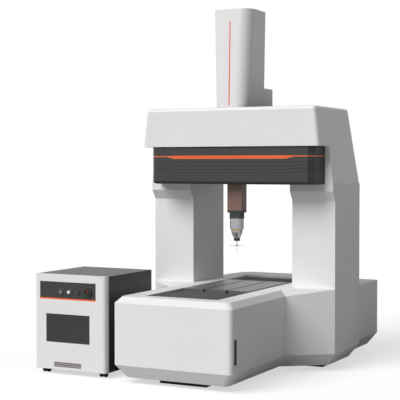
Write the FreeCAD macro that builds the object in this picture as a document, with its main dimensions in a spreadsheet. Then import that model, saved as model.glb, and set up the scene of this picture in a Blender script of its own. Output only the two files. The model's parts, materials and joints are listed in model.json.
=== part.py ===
import FreeCAD, Part
import math
import os
import re

import Sketcher
from FreeCAD import Rotation, Vector

# Coordinate measuring machine of the fixed-bridge, moving-table kind, with its control cabinet.
# Millimetres. X runs across the table, Y along its travel (the operator stands at -Y), Z is up.
# The origin is on the floor, straight below the axis of the ram.

doc = FreeCAD.newDocument("coordinate_measuring_machine")
sheet = doc.addObject("Spreadsheet::Sheet", "sizes")

SIZES = [
    # work table and measuring travel
    ("table_width", 550, "work table across"),
    ("table_length", 750, "work table along its travel"),
    ("table_thickness", 62, "work table"),
    ("table_top", 628, "table surface above the floor"),
    ("slot_spacing", 190, "between the two tee slots"),
    ("slot_neck", 14, "tee slot mouth"),
    ("slot_head", 24, "tee slot undercut width"),
    ("slot_neck_depth", 12, "mouth down to the undercut"),
    ("slot_head_depth", 10, "undercut height"),
    ("travel_x", 500, "carriage travel"),
    ("travel_y", 700, "table travel"),
    ("folded_front", 190, "front bellows folded up"),
    ("folded_back", 97, "rear bellows folded up"),
    ("travel_up", 205, "ram travel above rest"),
    ("travel_down", 245, "ram travel below rest"),
    ("air_gap", 0.2, "air bearing film, drawn thick"),
    ("running_gap", 0.05, "radial play of a journal"),
    ("thread_gap", 0.3, "radial play round a ball screw"),
    # floor plinth and isolators
    ("plinth_height", 43, "floor frame"),
    ("plinth_floor", 10, "floor frame bottom plate"),
    ("plinth_wall", 12, "floor frame side wall"),
    ("plinth_half_width", 187, "long member"),
    ("plinth_front", 891, "front end before the ram axis"),
    ("plinth_back", 1180, "back end behind the ram axis"),
    ("cross_half_length", 620, "cross member under the bridge"),
    ("cross_half_depth", 120, "cross member"),
    ("cross_centre", 360, "cross member behind the ram axis"),
    ("isolator_radius", 84, "air spring"),
    ("isolator_flange", 12, "isolator end plates"),
    ("isolator_x_front", 88, "front pair, from the centre plane"),
    ("isolator_y_front", 780, "front pair before the ram axis"),
    ("isolator_x_rear", 520, "rear pair, from the centre plane"),
    # granite bed
    ("bed_bottom", 178, "underside above the floor"),
    ("bed_half_width", 398, "long part"),
    ("bed_front", 1000, "front end before the ram axis"),
    ("bed_back", 1080, "back end behind the ram axis"),
    ("shoulder_half_width", 742, "wide part under the columns"),
    ("shoulder_front", 122, "wide part, front"),
    ("shoulder_back", 604, "wide part, back"),
    ("trench_half_width", 300, "channel for the table drive"),
    ("trench_front", 940, "channel front end before the ram axis"),
    ("trench_floor", 430, "channel floor above the floor"),
    # guideways, saddle and the drive along Y
    ("way_inner", 150, "guideway inner side"),
    ("way_width", 80, "guideway"),
    ("way_height", 66, "guideway"),
    ("way_front", 900, "guideway front end before the ram axis"),
    ("way_back", 900, "guideway back end"),
    ("pad_height", 8, "air pads"),
    ("pad_length", 120, "air pads"),
    ("lip_width", 18, "saddle lips that hug the guideways"),
    ("lip_clearance", 14, "saddle lips above the channel floor"),
    ("nut_half_length", 45, "screw nut block of the table"),
    ("saddle_half_length", 330, "table saddle"),
    ("screw_y_radius", 12.5, "ball screw of the table"),
    ("screw_y_height", 470, "its axis above the floor"),
    ("screw_y_end", 880, "bearing from the ram axis"),
    ("bearing_thickness", 28, "screw bearings"),
    ("bearing_half_width", 38, "screw bearings"),
    ("coupling_radius", 18, "shaft couplings"),
    ("coupling_length", 34, "shaft couplings"),
    ("motor_half", 38, "square drive motors"),
    ("motor_length", 72, "drive motors"),
    ("motor_gap", 1, "coupling to motor"),
    ("scale_width", 14, "measuring scales"),
    ("scale_thickness", 4, "measuring scales"),
    ("scale_rise", 20, "table scale above the channel floor"),
    ("scale_setback", 60, "beam scale from the back of the beam"),
    # base covers
    ("deck_height", 624, "deck above the floor"),
    ("cover_wall", 4, "cover panels"),
    ("base_half_width", 470, "front block"),
    ("base_front", 1069, "front face before the ram axis"),
    ("wing_half_width", 776, "wings and columns"),
    ("wing_root", 143, "where a wing leaves the side, before the ram axis"),
    ("bridge_front", 88, "column front face"),
    ("bridge_back", 635, "column back face"),
    ("edge_drop", 45, "deck edge slope, height"),
    ("edge_run", 41, "deck edge slope, width"),
    ("corner_radius", 35, "front corners"),
    ("skirt_bottom", 43, "covers above the floor"),
    ("skirt_rise", 93, "sloping skirt, height"),
    ("skirt_run", 65, "sloping skirt, width"),
    ("side_seam", 956, "front cover to side cover, before the ram axis"),
    ("recess_clearance", 15, "table to deck"),
    ("recess_lip", 34, "turned-down edge of the deck"),
    ("rear_half_width", 700, "rear cover"),
    ("base_back", 1346, "rear cover back face"),
    ("deck_step", 42, "deck above the rear cover"),
    ("tongue_half_width", 454, "raised deck behind the bridge"),
    ("tongue_back", 1110, "its back end"),
    ("tongue_corner", 70, "its slanted corners"),
    ("vent_front", 1033, "side vent front end before the ram axis"),
    ("vent_length", 43, "side vent"),
    ("vent_bottom", 197, "side vent above the floor"),
    ("vent_height", 174, "side vent"),
    ("vent_bars", 14, "side vent slits"),
    ("vent_depth", 3, "side vent slits"),
    ("hatch_front", 729, "service hatch front end before the ram axis"),
    ("hatch_length", 149, "service hatch"),
    ("hatch_bottom", 170, "service hatch above the floor"),
    ("hatch_height", 206, "service hatch"),
    ("hatch_gap", 1.5, "joint round the hatch"),
    ("hatch_lap", 8, "frame behind the hatch"),
    ("screw_head_radius", 4.6, "cover screws, across the corners"),
    ("screw_head_rise", 1.5, "cover screws"),
    ("screw_low", 180, "lower cover screws above the floor"),
    ("screw_seam_height", 472, "upper screw at the side seam"),
    ("screw_root_height", 426, "upper screw before the wing"),
    ("screw_wing_height", 402, "upper screw of the wing's side"),
    ("screw_seam_inset", 14, "screws before the side seam"),
    ("screw_root_inset", 30, "screws before the wing"),
    ("screw_wing_back", 348, "screws of the wing's side behind the ram axis"),
    ("column_screw_low", 764, "lowest screw of a column"),
    ("column_screw_pitch", 299, "screws of a column"),
    ("column_screw_count", 3, "screws of a column"),
    ("column_screw_inset", 97, "screws of a column before its back face"),
    ("gland_radius", 14, "cable glands"),
    ("air_inlet_radius", 12, "compressed-air inlet"),
    ("gland_length", 16, "cable glands"),
    ("gland_nut", 6, "cable gland nuts"),
    ("inlet_length", 30, "compressed-air inlet"),
    ("inlet_nut", 10, "its nut"),
    ("fitting_wall", 4, "glands and inlet"),
    ("socket_spacing", 90, "glands on the connection panel"),
    ("panel_half_width", 170, "connection panel"),
    ("panel_bottom", 240, "connection panel above the floor"),
    ("panel_height", 120, "connection panel"),
    # bridge
    ("column_inner", 427, "column cover inner side"),
    ("column_core_inner", 472, "column inside its cover"),
    ("column_core_outer", 730, "column inside its cover"),
    ("column_core_front", 140, "column inside its cover"),
    ("column_core_back", 590, "column inside its cover"),
    ("bevel_bottom", 1290, "front bevel of a column"),
    ("bevel_top", 1361, "front bevel of a column"),
    ("corbel_front", 38, "column head front face"),
    ("column_top", 1416, "joint between column and hood"),
    ("beam_bottom", 1440, "cross beam"),
    ("beam_top", 1840, "cross beam"),
    ("beam_front", 150, "cross beam front face"),
    ("beam_back", 500, "cross beam back face"),
    ("beam_half_length", 714, "cross beam"),
    ("beam_wall", 55, "cross beam"),
    ("hood_front", 167, "front face before the ram axis"),
    ("hood_lower", 1702, "underside at the front"),
    ("hood_top", 2002, "top face"),
    ("hood_top_half_width", 712, "at the top face"),
    ("hood_top_back", 539, "back edge of the top face"),
    ("hood_lean_bottom", 1460, "where the back starts to lean"),
    ("hood_radius", 28, "rounded edges"),
    ("hood_wall", 5, "hood moulding"),
    ("cover_half_width", 648, "beam cover front face"),
    ("cover_front", 154, "beam cover front face before the ram axis"),
    ("cover_corner_half_width", 688, "beam cover, behind its corner"),
    ("cover_corner_front", 102, "beam cover, behind its corner"),
    ("cover_back_half_width", 711, "beam cover, where it meets the column heads"),
    ("cover_bottom", 1414, "beam cover"),
    ("cover_radius", 24, "beam cover lower edge"),
    ("band_height", 1608, "orange band, low edge"),
    ("band_thickness", 26, "orange band in the middle"),
    ("band_thin", 8, "orange band at its ends"),
    ("band_lift", 16, "low edge of the thin ends above the band"),
    ("band_inner", 470, "where the band starts to narrow"),
    ("band_outer", 540, "where the band is narrow"),
    ("band_depth", 1.5, "inlay"),
    ("groove_first", 1575, "uppermost groove"),
    ("groove_pitch", 26, "groove spacing"),
    ("groove_count", 4, "grooves"),
    ("groove_width", 4, "grooves"),
    ("groove_depth", 2.5, "grooves"),
    ("groove_lift", 9, "outer ends above the middle"),
    ("ram_clearance", 10, "round the ram in the beam cover"),
    ("slot_half_width", 475, "tower slot in the hood"),
    ("slot_clearance", 5, "tower slot round the tower"),
    # carriage
    ("carriage_half_width", 128, "carriage"),
    ("carriage_front", 100, "front block before the ram axis"),
    ("carriage_bottom", 1446, "front block"),
    ("carriage_rise", 148, "carriage above the beam"),
    ("carriage_back", 520, "carriage"),
    ("carriage_arm", 1660, "rear arm lower end"),
    ("pad_x_thickness", 5, "air pads on the beam"),
    ("pad_x_inset", 20, "air pads from the beam's edges"),
    ("pad_x_height", 90, "air pads on the beam's front"),
    ("pad_x_depth", 100, "air pads on the beam's top and back"),
    ("pad_x_length", 84, "air pads along the beam"),
    ("pad_z_thickness", 6, "air pads round the ram"),
    ("pad_z_height", 90, "air pads round the ram"),
    ("screw_x_radius", 10, "ball screw of the carriage"),
    ("screw_x_height", 1912, "its axis above the floor"),
    ("screw_x_back", 330, "its axis behind the ram axis"),
    ("screw_x_end", 552, "bearings from the centre plane"),
    ("screw_z_radius", 8, "ball screw of the ram"),
    ("screw_z_back", 92, "its axis behind the ram axis"),
    ("arm_clearance", 21, "drive arm to the upper bearing at the top of its travel"),
    ("mast_front", 132, "tower frame front face"),
    ("mast_thickness", 18, "tower frame"),
    ("mast_half_width", 96, "tower frame"),
    ("balance_x", 78, "balance cylinder from the centre plane"),
    ("balance_radius", 18, "balance cylinder"),
    ("balance_bore", 8, "balance cylinder"),
    ("balance_bottom", 1500, "balance cylinder"),
    ("balance_wall", 8, "balance cylinder floor"),
    ("rod_clearance", 5, "drive arm to the cylinder at the bottom of its travel"),
    ("piston_height", 1760, "balance rod lower end"),
    ("rod_radius", 6, "balance rod"),
    ("piston_length", 12, "balance piston"),
    # tower cover
    ("tower_half_width", 137, "at its foot"),
    ("tower_top_half_width", 165, "at its top"),
    ("tower_front", 144, "foot, before the ram axis"),
    ("tower_top_front", 121, "top, before the ram axis"),
    ("tower_back", 211, "foot, behind the ram axis"),
    ("tower_top_back", 177, "top, behind the ram axis"),
    ("tower_top", 2750, "top face"),
    ("tower_radius", 92, "front corners"),
    ("tower_back_radius", 14, "back corners"),
    ("tower_edge", 6, "top edge"),
    ("tower_wall", 4, "tower moulding"),
    ("tail_half_width", 130, "box behind the tower foot"),
    ("tail_back", 391, "box behind the tower foot"),
    ("tail_height", 176, "box behind the tower foot"),
    ("line_width", 9, "orange line of the tower"),
    ("line_bottom", 2014, "orange line of the tower"),
    ("line_top", 2660, "orange line of the tower"),
    # ram and probe
    ("ram_width", 120, "ram across"),
    ("ram_depth", 96, "ram front to back"),
    ("ram_wall", 12, "ram"),
    ("ram_bottom", 1211, "ram lower end at rest"),
    ("ram_length", 1290, "ram"),
    ("arm_height", 2270, "drive arm underside at rest"),
    ("arm_thickness", 34, "drive arm"),
    ("arm_reach", 30, "drive arm beyond the screw, away from the cylinder"),
    ("arm_margin", 6, "drive arm round the screw"),
    ("end_plate", 18, "plate under the ram"),
    ("head_width", 86, "black probe mount"),
    ("head_height", 47, "black probe mount"),
    ("body_width", 91, "probe body"),
    ("body_height", 82, "probe body"),
    ("body_chamfer", 16, "probe body edges"),
    ("ring_radius", 45, "probe ring"),
    ("ring_height", 9, "probe ring"),
    ("nose_height", 61, "probe nose"),
    ("nose_shoulder", 14, "cylindrical part of the nose"),
    ("nose_tip_radius", 23, "probe nose lower end"),
    ("chuck_radius", 25, "stylus chuck"),
    ("chuck_height", 21, "stylus chuck"),
    ("stylus_socket", 8, "stylus socket in the chuck"),
    ("stylus_play", 2, "above the stylus in its socket"),
    ("star_drop", 37, "star centre below the chuck"),
    ("star_reach", 53, "side styli"),
    ("tip_drop", 52, "lower tip below the star centre"),
    ("stem_radius", 1.3, "stylus stems"),
    ("stem_thick_radius", 3, "stylus extension"),
    ("ruby_radius", 3, "ruby balls"),
    ("star_half", 5, "star centre block"),
    # table bellows and carriage bellows
    ("bellows_drop", 20, "below the table surface"),
    ("bellows_height", 12, "fold height"),
    ("bellows_skin", 2, "fold thickness"),
    ("bellows_folds_front", 22, "folds before the table"),
    ("bellows_folds_back", 18, "folds behind the table"),
    ("bellows_folds_side", 16, "folds beside the tower"),
    ("bellows_side_gap", 3, "bellows to the deck or slot edge"),
    # control cabinet
    ("cabinet_left", 1229, "left side from the centre plane"),
    ("cabinet_width", 625, "cabinet"),
    ("cabinet_front", 954, "front before the ram axis"),
    ("cabinet_depth", 675, "cabinet"),
    ("cabinet_bottom", 38, "above the floor"),
    ("cabinet_height", 708, "cabinet"),
    ("cabinet_wall", 3, "sheet metal"),
    ("cabinet_radius", 28, "front bezel corners"),
    ("bezel_depth", 46, "front bezel"),
    ("bezel_wall", 26, "front bezel"),
    ("bezel_face", 8, "front bezel face thickness"),
    ("panel_left", 49, "control panel from the cabinet's left side"),
    ("panel_width", 492, "control panel"),
    ("controls_bottom", 523, "control panel above the cabinet's underside"),
    ("controls_height", 132, "control panel"),
    ("controls_recess", 5, "control panel behind the bezel face"),
    ("plate_thickness", 4, "control panel"),
    ("strip_height", 11, "orange strip"),
    ("strip_depth", 1.5, "orange strip"),
    ("control_height", 582, "control centres above the cabinet's underside"),
    ("switch_place", 237, "key switch from the cabinet's left side"),
    ("white_place", 307, "white button"),
    ("grey_place", 380, "grey button"),
    ("gauge_place", 473, "pressure gauge"),
    ("button_radius", 12, "buttons"),
    ("button_height", 9, "buttons in front of the panel"),
    ("button_tail", 6, "buttons behind the panel"),
    ("button_travel", 4, "buttons"),
    ("switch_radius", 15, "key switch"),
    ("switch_gap", 0.5, "key switch to the panel"),
    ("switch_bar_width", 6, "key switch grip"),
    ("switch_bar_height", 8, "key switch grip"),
    ("gauge_radius", 31, "pressure gauge"),
    ("gauge_height", 8, "pressure gauge"),
    ("gauge_lip", 4, "pressure gauge rim"),
    ("dial_depth", 4, "pressure gauge dial behind its rim"),
    ("needle_length", 20, "gauge needle"),
    ("needle_width", 2.4, "gauge needle"),
    ("needle_tail", 6, "gauge needle beyond its pin"),
    ("needle_pin", 2, "gauge needle pin"),
    ("needle_inset", 1.5, "gauge needle behind the rim"),
    ("needle_thickness", 1.5, "gauge needle"),
    ("window_left", 104, "window from the cabinet's left side"),
    ("window_width", 383, "window"),
    ("window_bottom", 203, "window above the cabinet's underside"),
    ("window_height", 212, "window"),
    ("window_recess", 4, "window pane behind the bezel face"),
    ("window_thickness", 4, "window pane"),
    ("grille_left", 175, "front grille from the cabinet's left side"),
    ("grille_width", 238, "front grille"),
    ("grille_bottom", 19, "front grille above the cabinet's underside"),
    ("grille_height", 37, "front grille"),
    ("grille_columns", 16, "front grille slots across"),
    ("grille_rows", 3, "front grille rows"),
    ("grille_recess", 2, "front grille behind the bezel face"),
    ("unit_height", 44, "rack units behind the window"),
    ("unit_count", 4, "rack units behind the window"),
    ("unit_gap", 12, "between rack units"),
    ("unit_inset", 57, "rack units from the cabinet walls"),
    ("unit_setback", 20, "rack units behind the bezel"),
    ("unit_depth", 300, "rack units"),
    ("unit_drop", 30, "lowest shelf below the window"),
    ("shelf_thickness", 4, "shelves"),
    ("cabinet_floor", 20, "floor plate above the cabinet's underside"),
    ("wheel_radius", 25, "casters"),
    ("wheel_width", 14, "each of a caster's two wheels"),
    ("wheel_spacing", 20, "between a caster's wheels"),
    ("axle_radius", 4, "caster axle"),
    ("caster_inset_x", 60, "caster from the cabinet's side"),
    ("caster_inset_y", 74, "caster from the cabinet's front or back"),
    ("caster_plate_lap", 2, "caster plate beyond its wheels"),
    ("caster_plate_thickness", 4, "caster plate"),
    ("caster_web", 14, "caster web before and behind the axle"),
    ("caster_web_low", 9, "caster web below the axle"),
    ("caster_play", 1, "caster web to each wheel"),
]

for row, (alias, value, meaning) in enumerate(SIZES, start=1):
    sheet.set(f"A{row}", meaning)
    sheet.set(f"B{row}", str(value))
    sheet.setAlias(f"B{row}", alias)
doc.recompute()

ALIASES = {alias for alias, value, meaning in SIZES}

# Places that follow from the sizes above, so that what meets there moves together.
PLACES = {
    "recess_front": "table_length / 2 + travel_y / 2 + folded_front",
    "recess_back": "table_length / 2 + travel_y / 2 + folded_back",
    "carriage_top": "beam_top + carriage_rise",
    "tail_top": "beam_top + carriage_rise + tail_height",
    "screw_z_top": "arm_height + arm_thickness + travel_up + arm_clearance",
    "balance_top": "arm_height - travel_down - rod_clearance",
    "caster_plate": "wheel_spacing / 2 + wheel_width + caster_plate_lap",
}


# ---------------------------------------------------------------- helpers

def link(formula):
    """A formula on the names of the sheet, written the way setExpression wants it."""
    def full(match):
        word = match[0]
        if word in PLACES:
            return f"({link(PLACES[word])})"
        return "sizes." + word if word in ALIASES else word

    return re.sub(r"[a-z_]+", full, str(formula))


def number(formula):
    """The present value of such a formula, in millimetres."""
    return float(sheet.evalExpression(link(formula)))


def bind(thing, field, formula):
    thing.setExpression(field, link(formula))


def minus(formula):
    return f"-({formula})"


def box(name, x, y, z):
    """A box between two places along each axis."""
    solid = doc.addObject("Part::Box", name)
    for side, base, (low, high) in zip(("Length", "Width", "Height"), "xyz", (x, y, z)):
        bind(solid, side, f"({high}) - ({low})")
        bind(solid, f"Placement.Base.{base}", low)
    return solid


TURN = {
    "X": Rotation(Vector(0, 1, 0), 90),
    "Y": Rotation(Vector(1, 0, 0), -90),
    "Z": Rotation(),
}


def place(solid, axis, at, start):
    """Puts a round solid on an axis: at holds the two coordinates off the axis, in X, Y, Z order."""
    solid.Placement.Rotation = TURN[axis]
    across = [letter for letter in "xyz" if letter != axis.lower()]
    for letter, formula in zip(across, at):
        bind(solid, f"Placement.Base.{letter}", formula)
    bind(solid, f"Placement.Base.{axis.lower()}", start)


def cylinder(name, axis, at, radius, start, end):
    solid = doc.addObject("Part::Cylinder", name)
    bind(solid, "Radius", radius)
    bind(solid, "Height", f"({end}) - ({start})")
    place(solid, axis, at, start)
    return solid


def hexagon(name, axis, at, radius, start, end):
    """A six-sided bar, its radius measured across the corners."""
    solid = doc.addObject("Part::Prism", name)
    solid.Polygon = 6
    bind(solid, "Circumradius", radius)
    bind(solid, "Height", f"({end}) - ({start})")
    place(solid, axis, at, start)
    return solid


def ball(name, place_at, radius, seat, outwards):
    """A ball with a flat ground on it, which seats on a stem of the given radius."""
    solid = doc.addObject("Part::Sphere", name)
    bind(solid, "Radius", radius)
    bind(solid, "Angle1", f"-acos({seat} / {radius})")
    solid.Placement.Rotation = Rotation(Vector(0, 0, 1), Vector(*outwards))
    for letter, formula in zip("xyz", place_at):
        bind(solid, f"Placement.Base.{letter}", formula)
    return solid


def fuse(name, *solids):
    whole = doc.addObject("Part::MultiFuse", name)
    whole.Shapes = list(solids)
    whole.Refine = True
    return whole


def group(name, *solids):
    """Separate solids that share one node."""
    whole = doc.addObject("Part::Compound", name)
    whole.Links = list(solids)
    return whole


def cut(name, base, *tools):
    result = doc.addObject("Part::Cut", name)
    result.Base = base
    result.Tool = tools[0] if len(tools) == 1 else fuse(name + "_cutters", *tools)
    return result


def common(name, first, second):
    result = doc.addObject("Part::Common", name)
    result.Base = first
    result.Tool = second
    return result


def mirrored(name, source):
    """The same piece on the other side of the centre plane."""
    copy = doc.addObject("Part::Mirroring", name)
    copy.Source = source
    copy.Base = Vector(0, 0, 0)
    copy.Normal = Vector(1, 0, 0)
    return copy


def rounded(name, source, radius, choose):
    """Rounds the edges that choose(middle, direction) picks."""
    doc.recompute()
    result = doc.addObject("Part::Fillet", name)
    result.Base = source
    size = number(radius)
    result.Edges = [(n, size, size) for n in chosen_edges(source.Shape, choose)]
    return result


def chamfered(name, source, width, choose):
    """Bevels the edges that choose(middle, direction) picks."""
    doc.recompute()
    result = doc.addObject("Part::Chamfer", name)
    result.Base = source
    size = number(width)
    result.Edges = [(n, size, size) for n in chosen_edges(source.Shape, choose)]
    return result


def chosen_edges(shape, choose):
    """Numbers of the straight edges that choose(middle, direction) picks."""
    found = []
    for count, edge in enumerate(shape.Edges, start=1):
        if edge.Curve.TypeId != "Part::GeomLine":
            continue
        ends = [vertex.Point for vertex in edge.Vertexes]
        run = (ends[1] - ends[0]).normalize()
        if choose((ends[0] + ends[1]) / 2, run):
            found.append(count)
    return found


PLANES = {"XY": ("XY_Plane", 1), "XZ": ("XZ_Plane", -1), "YZ": ("YZ_Plane", 1)}


def corner_arc(before, corner, after, radius):
    """Tangent points and arc that round one corner of an outline."""
    back = (before - corner).normalize()
    ahead = (after - corner).normalize()
    half = back.getAngle(ahead) / 2
    run = radius / math.tan(half)
    leave, meet = corner + back * run, corner + ahead * run
    centre = corner + (back + ahead).normalize() * (radius / math.sin(half))
    left_turn = (corner - before).cross(after - corner).z > 0
    start, end = (leave, meet) if left_turn else (meet, leave)
    angles = [math.atan2(p.y - centre.y, p.x - centre.x) for p in (start, end)]
    arc = Part.ArcOfCircle(Part.Circle(centre, Vector(0, 0, 1), radius), *angles)
    return leave, meet, arc, (1, 2) if left_turn else (2, 1)


def draw(body, name, plane, points, level):
    """A closed sketch through points, square to one axis and at a level along it.

    The points hold formulas: (x, y) on XY, (x, z) on XZ and (y, z) on YZ. A third
    formula rounds that corner.
    """
    role, sense = PLANES[plane]
    sketch = body.newObject("Sketcher::SketchObject", name)
    origin_plane = next(f for f in body.Origin.OriginFeatures if f.Role == role)
    sketch.AttachmentSupport = (origin_plane, [""])
    sketch.MapMode = "FlatFace"
    bind(sketch, "AttachmentOffset.Base.z", level if sense > 0 else minus(level))
    spots = [Vector(number(point[0]), number(point[1]), 0) for point in points]
    count = len(points)
    starts, ends, arcs = list(spots), list(spots), {}
    for n, point in enumerate(points):
        if len(point) > 2:
            turn = corner_arc(spots[n - 1], spots[n], spots[(n + 1) % count], number(point[2]))
            ends[n], starts[n] = turn[0], turn[1]
            arcs[n] = turn[2:]
    for n in range(count):
        sketch.addGeometry(Part.LineSegment(starts[n], ends[(n + 1) % count]), False)

    def fix(kind, geometry, end, formula, value):
        index = sketch.addConstraint(Sketcher.Constraint(kind, -1, 1, geometry, end, value))
        sketch.setExpression(f"Constraints[{index}]", link(formula))

    for n, point in enumerate(points):
        before = (n - 1) % count
        if n in arcs:
            arc, (first, last) = arcs[n]
            curve = sketch.addGeometry(arc, False)
            sketch.addConstraint(Sketcher.Constraint("Tangent", before, 2, curve, first))
            sketch.addConstraint(Sketcher.Constraint("Tangent", n, 1, curve, last))
            bend = sketch.addConstraint(Sketcher.Constraint("Radius", curve, number(point[2])))
            sketch.setExpression(f"Constraints[{bend}]", link(point[2]))
            mark = sketch.addGeometry(Part.Point(spots[n]), True)
            sketch.addConstraint(Sketcher.Constraint("PointOnObject", mark, 1, before))
            sketch.addConstraint(Sketcher.Constraint("PointOnObject", mark, 1, n))
            fix("DistanceX", mark, 1, point[0], spots[n].x)
            fix("DistanceY", mark, 1, point[1], spots[n].y)
        else:
            sketch.addConstraint(Sketcher.Constraint("Coincident", before, 2, n, 1))
            fix("DistanceX", n, 1, point[0], spots[n].x)
            fix("DistanceY", n, 1, point[1], spots[n].y)
    return sketch


def new_body(name):
    return doc.addObject("PartDesign::Body", name)


def pad(body, name, plane, points, low, high):
    """Adds an extruded outline to a body, from low to high along the axis square to the plane."""
    start = low if PLANES[plane][1] > 0 else high
    feature = body.newObject("PartDesign::Pad", name)
    feature.Profile = draw(body, name + "_outline", plane, points, start)
    bind(feature, "Length", f"({high}) - ({low})")
    return feature


def loft(body, name, plane, *sections):
    """Adds a straight-sided loft through sections of (outline, level)."""
    feature = body.newObject("PartDesign::AdditiveLoft", name)
    sketches = [draw(body, f"{name}_section_{n}", plane, *s) for n, s in enumerate(sections)]
    feature.Profile = sketches[0]
    feature.Sections = sketches[1:]
    feature.Ruled = True
    feature.Closed = False
    return feature


def prism(name, plane, points, low, high):
    body = new_body(name)
    pad(body, name + "_pad", plane, points, low, high)
    return body


def revolve(name, points, x, y):
    """A turned solid: points hold (radius, height) formulas and turn round an upright axis at x, y."""
    body = new_body(name)
    profile = draw(body, name + "_profile", "XZ", points, "0")
    turned = body.newObject("PartDesign::Revolution", name + "_turned")
    turned.Profile = profile
    turned.ReferenceAxis = (profile, ["V_Axis"])
    turned.Angle = 360
    bind(body, "Placement.Base.x", x)
    bind(body, "Placement.Base.y", y)
    return body


def loop_both(points):
    """Completes an outline that is given for x > 0 with its mirror image."""
    return points + [(minus(point[0]),) + tuple(point[1:]) for point in reversed(points)]


NODES = []


def node(solid, name):
    """Names a finished sub-part."""
    solid.Label = name
    NODES.append(solid)
    return solid


# ---------------------------------------------------------------- floor plinth and isolators

def cross_outline(half_width, front, back, wing, wing_front, wing_back):
    """Plan outline of a long part with a wider part across it, for x > 0."""
    return loop_both([
        (half_width, front), (half_width, wing_front), (wing, wing_front),
        (wing, wing_back), (half_width, wing_back), (half_width, back),
    ])


def plinth_outline(inset):
    """Plan of the floor frame, its walls moved inwards by inset."""
    return cross_outline(
        f"plinth_half_width - {inset}", f"-plinth_front + {inset}", f"plinth_back - {inset}",
        f"cross_half_length - {inset}",
        f"cross_centre - cross_half_depth + {inset}", f"cross_centre + cross_half_depth - {inset}",
    )


def floor_plinth():
    body = prism("plinth_body", "XY", plinth_outline("0"), "0", "plinth_height")
    hollow = prism("plinth_hollow", "XY", plinth_outline("plinth_wall"), "plinth_floor", "plinth_height")
    node(cut("floor_plinth_tray", body, hollow), "floor_plinth")


def isolator(name, x, y):
    """Air spring: a rubber body between two steel end plates."""
    waist = "isolator_radius * 0.9"
    lower = "plinth_floor + isolator_flange"
    upper = "bed_bottom - isolator_flange"
    return revolve(name, [
        ("0", "plinth_floor"), ("isolator_radius", "plinth_floor"), ("isolator_radius", lower),
        (waist, lower), (waist, upper),
        ("isolator_radius", upper), ("isolator_radius", "bed_bottom"), ("0", "bed_bottom"),
    ], x, y)


def vibration_isolators():
    places = [
        ("isolator_x_front", "-isolator_y_front"), ("-isolator_x_front", "-isolator_y_front"),
        ("isolator_x_rear", "cross_centre"), ("-isolator_x_rear", "cross_centre"),
    ]
    units = [isolator(f"isolator_{n}", x, y) for n, (x, y) in enumerate(places)]
    node(group("vibration_isolators", *units), "vibration_isolators")


# ---------------------------------------------------------------- granite bed, guideways, drive along Y

BED_TOP = "deck_height - cover_wall"


def bed():
    slab = prism("bed_slab", "XY", cross_outline(
        "bed_half_width", "-bed_front", "bed_back",
        "shoulder_half_width", "shoulder_front", "shoulder_back",
    ), "bed_bottom", BED_TOP)
    trench = box("bed_trench", ("-trench_half_width", "trench_half_width"),
                 ("-trench_front", "bed_back"), ("trench_floor", BED_TOP))
    node(cut("bed", slab, trench), "bed")


def table_guideways():
    rail = box("guideway_rail", ("way_inner", "way_inner + way_width"),
               ("-way_front", "way_back"), ("trench_floor", "trench_floor + way_height"))
    node(group("table_guideways", rail, mirrored("guideway_left", rail)), "table_guideways")


def bearing_block(name, axis, at, radius, low, high, seat):
    """A block with a journal bore, standing on a seat below the screw."""
    x, z = at
    if axis == "Y":
        block = box(name + "_block", (f"{x} - bearing_half_width", f"{x} + bearing_half_width"),
                    (low, high), (seat, f"{z} + bearing_half_width"))
    else:
        block = box(name + "_block", (low, high),
                    (f"{x} - bearing_half_width", f"{x} + bearing_half_width"),
                    (seat, f"{z} + bearing_half_width"))
    bore = cylinder(name + "_bore", axis, at, f"{radius} + running_gap", low, high)
    return cut(name, block, bore)


def motor(name, axis, at, low):
    """A square servo motor, its shaft end at low."""
    u, v = at
    square = [(f"{u} - motor_half", f"{u} + motor_half"), (f"{v} - motor_half", f"{v} + motor_half")]
    square.insert("XYZ".index(axis), (low, f"{low} + motor_length"))
    return box(name, *square)


MOTOR_FACE = "bearing_thickness + coupling_length + motor_gap"
SCREW_Y_AT = ("0", "screw_y_height")
SCREW_X_AT = ("screw_x_back", "screw_x_height")


def drive_motors():
    motor_y = motor("motor_y", "Y", SCREW_Y_AT, f"screw_y_end + {MOTOR_FACE}")
    foot_y = box("motor_y_foot", ("-motor_half", "motor_half"),
                 (f"screw_y_end + {MOTOR_FACE}", f"screw_y_end + {MOTOR_FACE} + motor_length"),
                 ("trench_floor", "screw_y_height - motor_half"))
    motor_x = motor("motor_x", "X", SCREW_X_AT, f"screw_x_end + {MOTOR_FACE}")
    foot_x = box("motor_x_foot", (f"screw_x_end + {MOTOR_FACE}", "beam_half_length - 1"),
                 ("screw_x_back - motor_half", "screw_x_back + motor_half"),
                 ("beam_top", "screw_x_height - motor_half"))
    return [fuse("drive_y", motor_y, foot_y), fuse("drive_x", motor_x, foot_x)]


def screw_drives():
    """Motors and screw bearings of the table and carriage drives."""
    seat_y = "trench_floor"
    seat_x = "beam_top"
    blocks = [
        bearing_block("bearing_y_back", "Y", SCREW_Y_AT, "screw_y_radius",
                      "screw_y_end", "screw_y_end + bearing_thickness", seat_y),
        bearing_block("bearing_y_front", "Y", SCREW_Y_AT, "screw_y_radius",
                      "-screw_y_end - bearing_thickness", "-screw_y_end", seat_y),
        bearing_block("bearing_x_right", "X", SCREW_X_AT, "screw_x_radius",
                      "screw_x_end", "screw_x_end + bearing_thickness", seat_x),
        bearing_block("bearing_x_left", "X", SCREW_X_AT, "screw_x_radius",
                      "-screw_x_end - bearing_thickness", "-screw_x_end", seat_x),
    ]
    node(group("screw_drives", *blocks, *drive_motors()), "screw_drives")


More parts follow.
